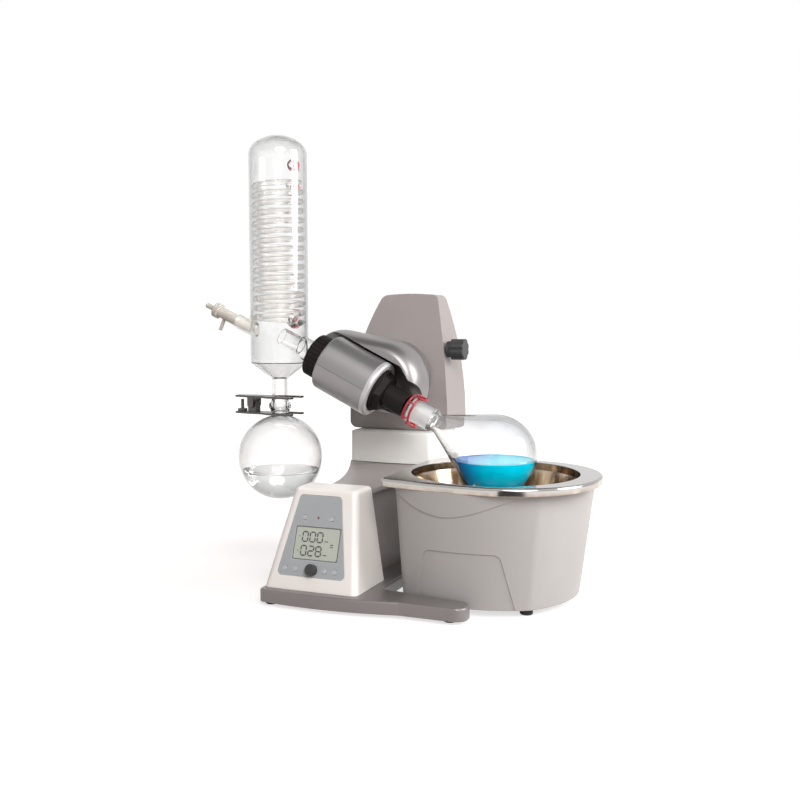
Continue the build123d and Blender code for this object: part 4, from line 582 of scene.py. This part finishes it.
def filled_ball(name, centre, radius, level, material):
    """The liquid in a round flask: a ball cut off flat at its level."""
    depth = (level - centre.z) / MM
    steps = 24
    low, high = -math.pi / 2, math.asin(depth / radius)
    turns = [low + (high - low) * i / steps for i in range(steps + 1)]
    profile = [(radius * math.sin(turn), radius * math.cos(turn)) for turn in turns]
    profile[0] = (profile[0][0], 0)
    lip = profile[-1][1]
    sag = 1.0
    profile += [(depth - 0.9 * sag, lip - 1.6), (depth - sag, lip - 4), (depth - sag, 0)]
    return turned(name, profile, centre, (0, 0, 1), "drive_head", material, segments=72)


filled_ball("evaporating_liquid", FLASK_CENTRE, FLASK_RADIUS - GLASS_WALL - LIQUID_GAP, FLASK_LEVEL,
            blue_liquid)
filled_ball("receiver_liquid", RECEIVER_CENTRE, RECEIVER_RADIUS - GLASS_WALL - LIQUID_GAP, RECEIVER_LEVEL,
            clear_liquid)
print("liquids at", round(FLASK_LEVEL, 4), round(RECEIVER_LEVEL, 4))

# %% [markdown]
# ## Dress the CAD nodes
# The solids already have the right shapes, so each one only takes its finish. Shading smooth with
# sharp edges kept at thirty degrees makes turned faces read as round.

# %% Finishes on the solids
wear(stand_paint, "tower_cover", "tower_back_cover", "pedestal_body")
wear(collar_paint, "pedestal_collar")
wear(box_plastic, "control_housing")
wear(panel_film, "control_panel")
wear(button_cap, "mode_button", "start_button", "lift_up_button", "lift_down_button", "timer_button",
     "set_button")
wear(dark_plastic, "selector_knob", "tilt_knob", "power_switch", "power_inlet")
wear(plate_finish, "base_plate")
wear(foot_rubber, "base_feet", "bath_feet", "drive_belt")
wear(steel, "mast", "guide_rods", "lift_screw", "tilt_shaft", "drive_hub", "hub_bearings", "heating_element")
wear(cast_alloy, "carriage_block", "bearing_frame", "hub_pulley", "motor_pulley")
wear(bronze, "guide_bushes", "lift_nut")
wear(motor_paint, "lift_motor", "drive_motor")
wear(head_paint, "head_lower_shell", "head_upper_shell")
wear(hood_paint, "head_arm")
wear(bezel_paint, "head_bezel")
wear(ring_plastic, "clamp_ring", "ejector_nut", "ejector_sleeve")
wear(red_plastic, "flask_clip", "hose_caps")
wear(seal_plastic, "shaft_seal", "hose_nozzles")
wear(clamp_metal, "clamp_lower_jaw", "clamp_upper_jaw", "clamp_screw")
wear(valve_plastic, "feed_valve")
wear(bath_plastic, "bath_housing", "bath_base")
wear(bath_steel, "bath_pot")
wear(board_lacquer, "control_board")
wear(jacket_glass, "condenser_jacket", "receiving_flask")
wear(joint_glass, "vapour_tube", "evaporating_flask")
wear(coil_glass, "cooling_coil")
print("solids dressed")


# %% [markdown]
# ## The display
# A reflective liquid crystal shows dark figures on a grey-green ground. The ground is the screen's
# own material, with a faint brightness fall-off in its clouds. The figures are flat seven-segment
# bars, cut as small polygons and laid a tenth of a millimetre over the screen.

# %% Display ground and figures
screen_ground = opaque("screen_ground", (0.47, 0.50, 0.43), 0.18, coat=0.6, grain=(4000, 0.05),
                       edge=(0.0006, 0.1))
wear(screen_ground, "display_screen")
lcd_ink = opaque("lcd_ink", (0.075, 0.08, 0.08), 0.4, grain=(3000, 0.1), edge=(0.0001, 0.0))
BARS = {"top": (0, 1, True), "middle": (0, 0, True), "bottom": (0, -1, True), "upper_left": (-1, 1, False),
        "upper_right": (1, 1, False), "lower_left": (-1, -1, False), "lower_right": (1, -1, False)}
FIGURES = {"0": "top bottom upper_left upper_right lower_left lower_right",
           "2": "top middle bottom upper_right lower_left",
           "8": "top middle bottom upper_left upper_right lower_left lower_right"}
SCREEN_OUT, BAR_HALF, INK_LIFT = -0.6, 0.95, 0.12


def lay_bar(form, right, up, half_long, half_wide, level):
    """One bar with pointed ends, lying on the control face."""
    outline = [(-half_long, 0), (-half_long + half_wide, half_wide), (half_long - half_wide, half_wide),
               (half_long, 0), (half_long - half_wide, -half_wide), (-half_long + half_wide, -half_wide)]
    places = [(right + x, up + y) if level else (right + y, up + x) for x, y in outline]
    form.faces.new([form.verts.new(on_face(x, y, SCREEN_OUT + INK_LIFT)) for x, y in places])


def lay_figures(form, text, right, up, width, height, pitch):
    """A row of seven-segment figures from a left edge."""
    for place, figure in enumerate(text):
        middle = right + place * pitch
        for bar in FIGURES[figure].split():
            side, level, flat = BARS[bar]
            if flat:
                lay_bar(form, middle, up + level * height / 2, width / 2 - 0.5, BAR_HALF, True)
            else:
                lay_bar(form, middle + side * width / 2, up + level * height / 4, height / 4 - 0.4, BAR_HALF,
                        False)


display_form = bmesh.new()
FIGURE_WIDTH, FIGURE_HEIGHT, FIGURE_PITCH, FIRST_FIGURE = 8, 13.5, 11.5, -18
for text, up in (("000", 46), ("028", 26.5)):
    lay_figures(display_form, text, FIRST_FIGURE, up, FIGURE_WIDTH, FIGURE_HEIGHT, FIGURE_PITCH)
SMALL_BARS = [(15.5, 41, 3.2), (15.5, 22, 3.2), (24.5, 37, 2.6), (24.5, 33.8, 2.6), (-27, 46, 1.2),
              (-27, 26, 1.2)]
for right, up, half in SMALL_BARS:
    lay_bar(display_form, right, up, half, 0.6, True)
display_mesh = bpy.data.meshes.new("display_figures")
display_form.to_mesh(display_mesh)
display_form.free()
show("display_figures", display_mesh, "base", lcd_ink, smooth=False)
print("display bars", len(display_mesh.polygons))

# %% [markdown]
# ## The hood of the tilting arm
# The drive head sits on an arm that swells out of the tower like a cowl and closes round the back of
# the head. The solid in the frame is plainer and smaller there, so the cowl replaces it. Its outlines
# are egg shapes, two circles and the lines that touch both. A skin runs through them from the front
# behind the head to a full circle at the tower, where the arm turns when the head tilts. A Boolean
# then cuts the round seat of the head out of it, which leaves a narrow dark groove round the head.
# The front outlines are flattened underneath, because the photograph shows nothing below the head.

# %% Arm hood
hood_up = drive_axis.cross(Vector((0, 1, 0))).normalized()
SEAT = [(-130, 46.5), (44, 46.5), (64, 33.5), (120, 33.5)]
FRONT_END, RING_END = (20.2, 4.3, 67.0), (-53.7, -3.9, 55.0)
FRONT_INSETS = [(1, 15.5), (4, 11), (10, 6.5), (20, 2.8), (35, 0.5), (50, 0)]
BACK_ROWS = [(78, 10, 2.5, 61, -30, -2, 56), (105, 0.5, 0, 57.5, -0.5, 0, 57.5)]
TOWER_ROWS = [(back, 0.5, 0, radius, -0.5, 0, radius) for back, radius in ((137, 57), (141, 50), (155, 50))]
LOW_SHARE = 0.55
SEAT_STEPS = 96


def beside_drive(along, back, up):
    """A place along the drive axis, back from its plane and square up from it, in millimetres."""
    return tilt_pin + (drive_axis * along + Vector((0, back, 0)) + hood_up * up) * MM


def egg_loop(x, y, wide, far_x, far_y, narrow, steps=28):
    """Points round two circles and the straight lines that touch both."""
    apart = math.hypot(far_x - x, far_y - y)
    toward = math.atan2(far_y - y, far_x - x)
    touch = math.acos((wide - narrow) / apart)
    points = []
    for cx, cy, radius, start, turn in ((x, y, wide, toward + touch, math.tau - 2 * touch),
                                        (far_x, far_y, narrow, toward - touch, 2 * touch)):
        for step in range(steps + 1):
            angle = start + turn * step / steps
            points.append((cx + radius * math.cos(angle), cy + radius * math.sin(angle)))
    return points


def make_hood():
    """The cowl as a mesh, with the seat of the head cut out."""
    rows = []
    for back, inset in FRONT_INSETS:
        rows.append((back, *FRONT_END[:2], FRONT_END[2] - inset, *RING_END[:2], RING_END[2] - inset))
    loops = []
    for back, *egg in smooth_rows(rows + BACK_ROWS, 5) + TOWER_ROWS:
        flat = LOW_SHARE if back < BACK_ROWS[-1][0] else 1
        outline = [(x, y if y > 0 else y * flat) for x, y in egg_loop(*egg)]
        loops.append([beside_drive(x, back, y) for x, y in outline])
    cowl = bpy.data.objects.new("cowl", skin("cowl", loops))
    turns = [math.tau * i / SEAT_STEPS for i in range(SEAT_STEPS)]
    ring = [(math.cos(turn), math.sin(turn)) for turn in turns]
    ends = [[beside_drive(along, radius * x, radius * y) for x, y in ring] for along, radius in SEAT]
    seat = bpy.data.objects.new("seat", skin("seat", ends))
    for piece in (cowl, seat):
        bpy.context.scene.collection.objects.link(piece)
    cut = cowl.modifiers.new("seat", "BOOLEAN")
    cut.object = seat
    cut.operation = "DIFFERENCE"
    cut.solver = "EXACT"
    bpy.context.view_layer.update()
    mesh = bpy.data.meshes.new_from_object(cowl.evaluated_get(bpy.context.evaluated_depsgraph_get()))
    for piece in (cowl, seat):
        bpy.data.objects.remove(piece)
    return mesh


hood = show("arm_hood", make_hood(), "drive_head", hood_paint)
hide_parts("head_arm")
print("hood faces", len(hood.data.polygons))

# %% [markdown]
# ## Wire clip
# A red spring clip keeps the flask on its ground cone. It is bent from wire: one ring before the lip
# of the flask, one behind it, bars between them and two loops for the fingers. The solid in the frame
# is an open ring, so the wire replaces it. Curves with a round section are the natural way to bend it.

# %% Wire clip
WIRE, CLIP_RADIUS, CLIP_FROM, CLIP_TO = 1.6, 19.3, 83.6, 93.3
LOOP_AT, LOOP_REACH, LOOP_RADIUS, LOOP_POINTS, BAR_RISE = 96.0, 8.5, 22.4, 12, 2.0


def drive_ring(along, radius, count=32):
    """Places round the drive axis."""
    return [on_drive(along, radius, 360 * i / count) for i in range(count)]


clip = bent_rod("clip_ring_tube", drive_ring(CLIP_FROM, CLIP_RADIUS), WIRE, "rotor", wire_red,
                closed=True)
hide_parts("flask_clip")
bent_rod("clip_ring_flask", drive_ring(CLIP_TO, CLIP_RADIUS), WIRE, "rotor", wire_red,
         closed=True)
for turn in (35, 145, 215, 325):
    bar = [on_drive(CLIP_FROM, CLIP_RADIUS, turn), on_drive(CLIP_FROM + 1, CLIP_RADIUS + BAR_RISE, turn),
           on_drive(CLIP_TO - 1, CLIP_RADIUS + BAR_RISE, turn), on_drive(CLIP_TO, CLIP_RADIUS, turn)]
    bent_rod(f"clip_bar_{turn}", bar, WIRE, "rotor", wire_red)
for turn in (90, 270):
    loop = []
    for step in range(LOOP_POINTS):
        angle = math.tau * step / LOOP_POINTS
        sideways = math.degrees(LOOP_REACH * math.sin(angle) / LOOP_RADIUS)
        loop.append(on_drive(LOOP_AT + LOOP_REACH * math.cos(angle), LOOP_RADIUS, turn + sideways))
    bent_rod(f"clip_loop_{turn}", loop, WIRE, "rotor", wire_red, closed=True)

print("wire clip made")

# %% [markdown]
# ## Bead and barbs
# A bead of glass strengthens the neck of the flask, and barbs on the three nozzles hold the hoses.
# Both are turned forms: a closed profile of distance and radius, spun round its axis.

# %% Bead and barbs
BEAD = [(124.2, 14.65), (124.6, 16.2), (126, 16.8), (127.4, 16.2), (127.8, 14.65), (124.2, 14.65)]
BARB = [(0, 4.25), (0, 5.6), (3.8, 4.3), (0, 4.25)]
NOZZLE_HEIGHTS = {"water_in": 392, "water_out": 603, "vacuum": 637}
BARB_PLACES = (64, 69, 74)
SMALL_SEGMENTS = 32
turned("neck_bead", BEAD, tilt_pin, drive_axis, "rotor", jacket_glass)
for name, height in NOZZLE_HEIGHTS.items():
    for far in BARB_PLACES:
        turned(f"{name}_barb_{far}", BARB, at(CONDENSER_X, far, height), (0, 1, 0), "drive_head",
               seal_plastic, segments=SMALL_SEGMENTS)
print("bead and barbs made")

# %% [markdown]
# ## Screws, painted shade round the display and a lamp
# Four pan-head screws hold the cover on the back of the tower. They are turned, with a small recess in
# the head. A thin dark ring, a flat ring of faces laid just over the screen, is painted shade for the
# recess the screen sits in, and above it a small domed lamp shows that the machine is on.

# %% Screws, painted display shade and lamp
SCREW = [(0, 0), (0, 3.6), (0.9, 3.5), (1.6, 2.4), (1.6, 1.2), (1.0, 0.9), (1.0, 0)]
SCREW_PLACES, COVER_BACK = ((-52, 245), (52, 245), (-38, 400), (38, 400)), 232.02
LAMP = [(0, 1.7), (0.5, 1.6), (0.9, 1.1), (1.1, 0)]
LAMP_PLACE = (-1.5, 73.5)
SCREEN_MIDDLE, SCREEN_HALF = (1, 37), (35, 23.5)
SHADE_RING_WIDTH, SHADE_RING_CORNER, SHADE_RING_LIFT = 1.3, 2.0, 0.1
for x, z in SCREW_PLACES:
    turned(f"cover_screw_{x}_{z}", SCREW, at(x, COVER_BACK, z), (0, 1, 0), "lift_carriage",
           steel, segments=SMALL_SEGMENTS)


def flat_face_ring(name, half, width, corner, body, material):
    """A flat rectangular ring lying on the screen, from its outer half sizes inwards."""
    form = bmesh.new()
    rows = []
    for inset in (0, width):
        loop = rounded_loop(-half[0] + inset, half[0] - inset, -half[1] + inset, half[1] - inset, corner)
        places = [on_face(SCREEN_MIDDLE[0] + x, SCREEN_MIDDLE[1] + y, SCREEN_OUT + SHADE_RING_LIFT)
                  for x, y in loop]
        rows.append([form.verts.new(place) for place in places])
    for i in range(len(rows[0])):
        form.faces.new((rows[0][i - 1], rows[0][i], rows[1][i], rows[1][i - 1]))
    mesh = bpy.data.meshes.new(name)
    form.to_mesh(mesh)
    form.free()
    return show(name, mesh, body, material, smooth=False)


# A thin dark ring round the screen: painted shade for the recess the screen sits in.
recess_shade_ink = opaque("recess_shade_ink", (0.13, 0.135, 0.135), 0.35, grain=(3000, 0.1), edge=(0.0001, 0.0))
flat_face_ring("display_recess_shade", SCREEN_HALF, SHADE_RING_WIDTH, SHADE_RING_CORNER, "base", recess_shade_ink)
lamp_red = opaque("lamp_red", (0.30, 0.05, 0.04), 0.25, coat=0.5, edge=(0.0001, 0.0))
turned("power_lamp", LAMP, on_face(*LAMP_PLACE), face_out, "base", lamp_red,
       segments=SMALL_SEGMENTS)
print("screws, frame and lamp made")

# %% [markdown]
# ## World
# The machine stands on a white sweep under soft studio light. The world is bright only for rays from
# the camera, mirrors and glass, so the background is white without flooding the object with light.

# %% World
def seen_rays(tree):
    """One where a ray comes from the camera, a mirror or through glass, and nought for other rays."""
    path = add(tree, "ShaderNodeLightPath")
    direct = add(tree, "ShaderNodeMath",
                 {0: path.outputs["Is Camera Ray"], 1: path.outputs["Is Glossy Ray"]}, operation="MAXIMUM")
    return add(tree, "ShaderNodeMath", {0: direct.outputs[0], 1: path.outputs["Is Transmission Ray"]},
               operation="MAXIMUM").outputs[0]


world = bpy.data.worlds.new("studio")
bpy.context.scene.world = world
world.use_nodes = True
sky = world.node_tree
background = sky.nodes["Background"]
seen = seen_rays(sky)
level = add(sky, "ShaderNodeMapRange", {"Value": seen, "To Min": 0.2, "To Max": 1.0})
warmth = add(sky, "ShaderNodeMix", {"Factor": seen}, data_type="RGBA")
warmth.inputs[MIX_A].default_value = (1.0, 0.87, 0.82, 1)
warmth.inputs[MIX_B].default_value = (1, 1, 1, 1)
sky.links.new(warmth.outputs[MIX_RESULT], background.inputs["Color"])
sky.links.new(level.outputs["Result"], background.inputs["Strength"])
bpy.context.scene.view_settings.view_transform = "Standard"
print("world ready")

# %% [markdown]
# ## Lamps
# A large soft lamp on the right models the tower, a weaker one in front fills the shadows and a faint
# one hangs above. Round area lamps give the gentle falling-off of a studio softbox.


# %% Lamps
def soft_lamp(name, place, aim, size, power):
    """A round soft lamp at a place, turned to its aim."""
    lamp = bpy.data.lights.new(name, "AREA")
    lamp.shape = "DISK"
    lamp.size = size
    lamp.energy = power
    stand = bpy.data.objects.new(name, lamp)
    stand.location = place
    stand.rotation_euler = (Vector(aim) - Vector(place)).to_track_quat("-Z", "Y").to_euler()
    bpy.context.scene.collection.objects.link(stand)
    return stand


middle = (cad_box[0] + cad_box[1]) / 2
soft_lamp("key_right", (2.2, 0.35, 1.15), middle, 1.4, 52)
soft_lamp("fill_front", (1.15, -1.65, 1.6), middle, 1.6, 48)
soft_lamp("top", (0.0, 0.0, 2.3), middle, 1.6, 6)
print("lamps", len(bpy.data.lights))

# %% [markdown]
# ## Floor
# The sweep is a large sheet of matt paper. Near the machine it mostly takes light and shadow. Farther
# out it glows more and more for the rays that see it, until it is as white as the background and no
# horizon shows.


# %% Floor
def flat_sheet(name, corners, material):
    """A flat staged sheet through its corners."""
    form = bmesh.new()
    form.faces.new([form.verts.new(corner) for corner in corners])
    mesh = bpy.data.meshes.new(name)
    form.to_mesh(mesh)
    form.free()
    mesh.materials.append(material)
    sheet = bpy.data.objects.new(name, mesh)
    bpy.context.scene.collection.objects.link(sheet)
    return sheet


def make_floor_paper():
    """Matt white paper that glows towards its far edge."""
    material = bpy.data.materials.new("floor_paper")
    material.use_nodes = True
    tree = material.node_tree
    shader = tree.nodes["Principled BSDF"]
    shader.inputs["Base Color"].default_value = (0.45, 0.41, 0.395, 1)
    shader.inputs["Roughness"].default_value = 0.9
    shader.inputs["Emission Color"].default_value = (1, 1, 1, 1)
    place = add(tree, "ShaderNodeTexCoord")
    far = add(tree, "ShaderNodeVectorMath", {0: place.outputs["Object"], 1: (0.05, -0.05, 0)},
              operation="DISTANCE")
    glow = add(tree, "ShaderNodeMapRange", {"Value": far.outputs["Value"], "From Min": 0.3, "From Max": 1.0,
                                            "To Min": 0.68, "To Max": 1.0}, interpolation_type="SMOOTHSTEP")
    lift = add(tree, "ShaderNodeMath", {0: seen_rays(tree), 1: glow.outputs["Result"]}, operation="MULTIPLY")
    tree.links.new(lift.outputs[0], shader.inputs["Emission Strength"])
    return material


REACH, UNDER = 6.0, -0.0002
flat_sheet("floor", [(-REACH, -REACH, UNDER), (REACH, -REACH, UNDER), (REACH, REACH, UNDER),
                     (-REACH, REACH, UNDER)], make_floor_paper())

# %% [markdown]
# ## Dark cards
# Polished steel and metallic paint need something dark to mirror. Three black cards stand round the
# machine as in a photographer's studio: one in front, one on the floor before it and one overhead.
# They show in reflections only.

# %% Dark cards
card_black = bpy.data.materials.new("card_black")
card_black.use_nodes = True
card_black.node_tree.nodes["Principled BSDF"].inputs["Base Color"].default_value = (0.01, 0.01, 0.01, 1)
card_black.node_tree.nodes["Principled BSDF"].inputs["Roughness"].default_value = 1.0
CARDS = {
    "card_floor": [(0.2, -0.75, 0.002), (0.75, -0.75, 0.002), (1.2, -2.6, 0.002), (0.35, -2.6, 0.002)],
    "card_top": [(-0.9, -0.5, 1.9), (0.9, -0.5, 1.9), (0.9, 1.2, 1.9), (-0.9, 1.2, 1.9)],
    "card_front": [(0.35, -2.6, 0.0), (1.2, -2.6, 0.0), (1.2, -2.6, 0.6), (0.35, -2.6, 0.6)],
}
for name, corners in CARDS.items():
    card = flat_sheet(name, corners, card_black)
    card.visible_camera = False
    card.visible_diffuse = False
    card.visible_transmission = False
    card.visible_shadow = False
print("floor and cards ready")

# %% [markdown]
# ## Camera
# The photograph looks at the machine from the right of its front, a little above the middle. The
# camera stands 1.5 metres away and a moderate lens keeps the perspective of the real picture.

# %% Camera
camera = bpy.data.cameras.new("camera")
camera.sensor_width = 36.0
camera.lens = 45.804
stand = bpy.data.objects.new("camera", camera)
stand.location = at(623.8, -1382.4, 407.3)
AZIMUTH, PITCH = math.radians(22.18), math.radians(-4.89)
look = Vector((-math.sin(AZIMUTH) * math.cos(PITCH), math.cos(AZIMUTH) * math.cos(PITCH), math.sin(PITCH)))
stand.rotation_euler = look.to_track_quat("-Z", "Y").to_euler()
bpy.context.scene.collection.objects.link(stand)
bpy.context.scene.camera = stand
print("camera at", tuple(round(v, 3) for v in stand.location))
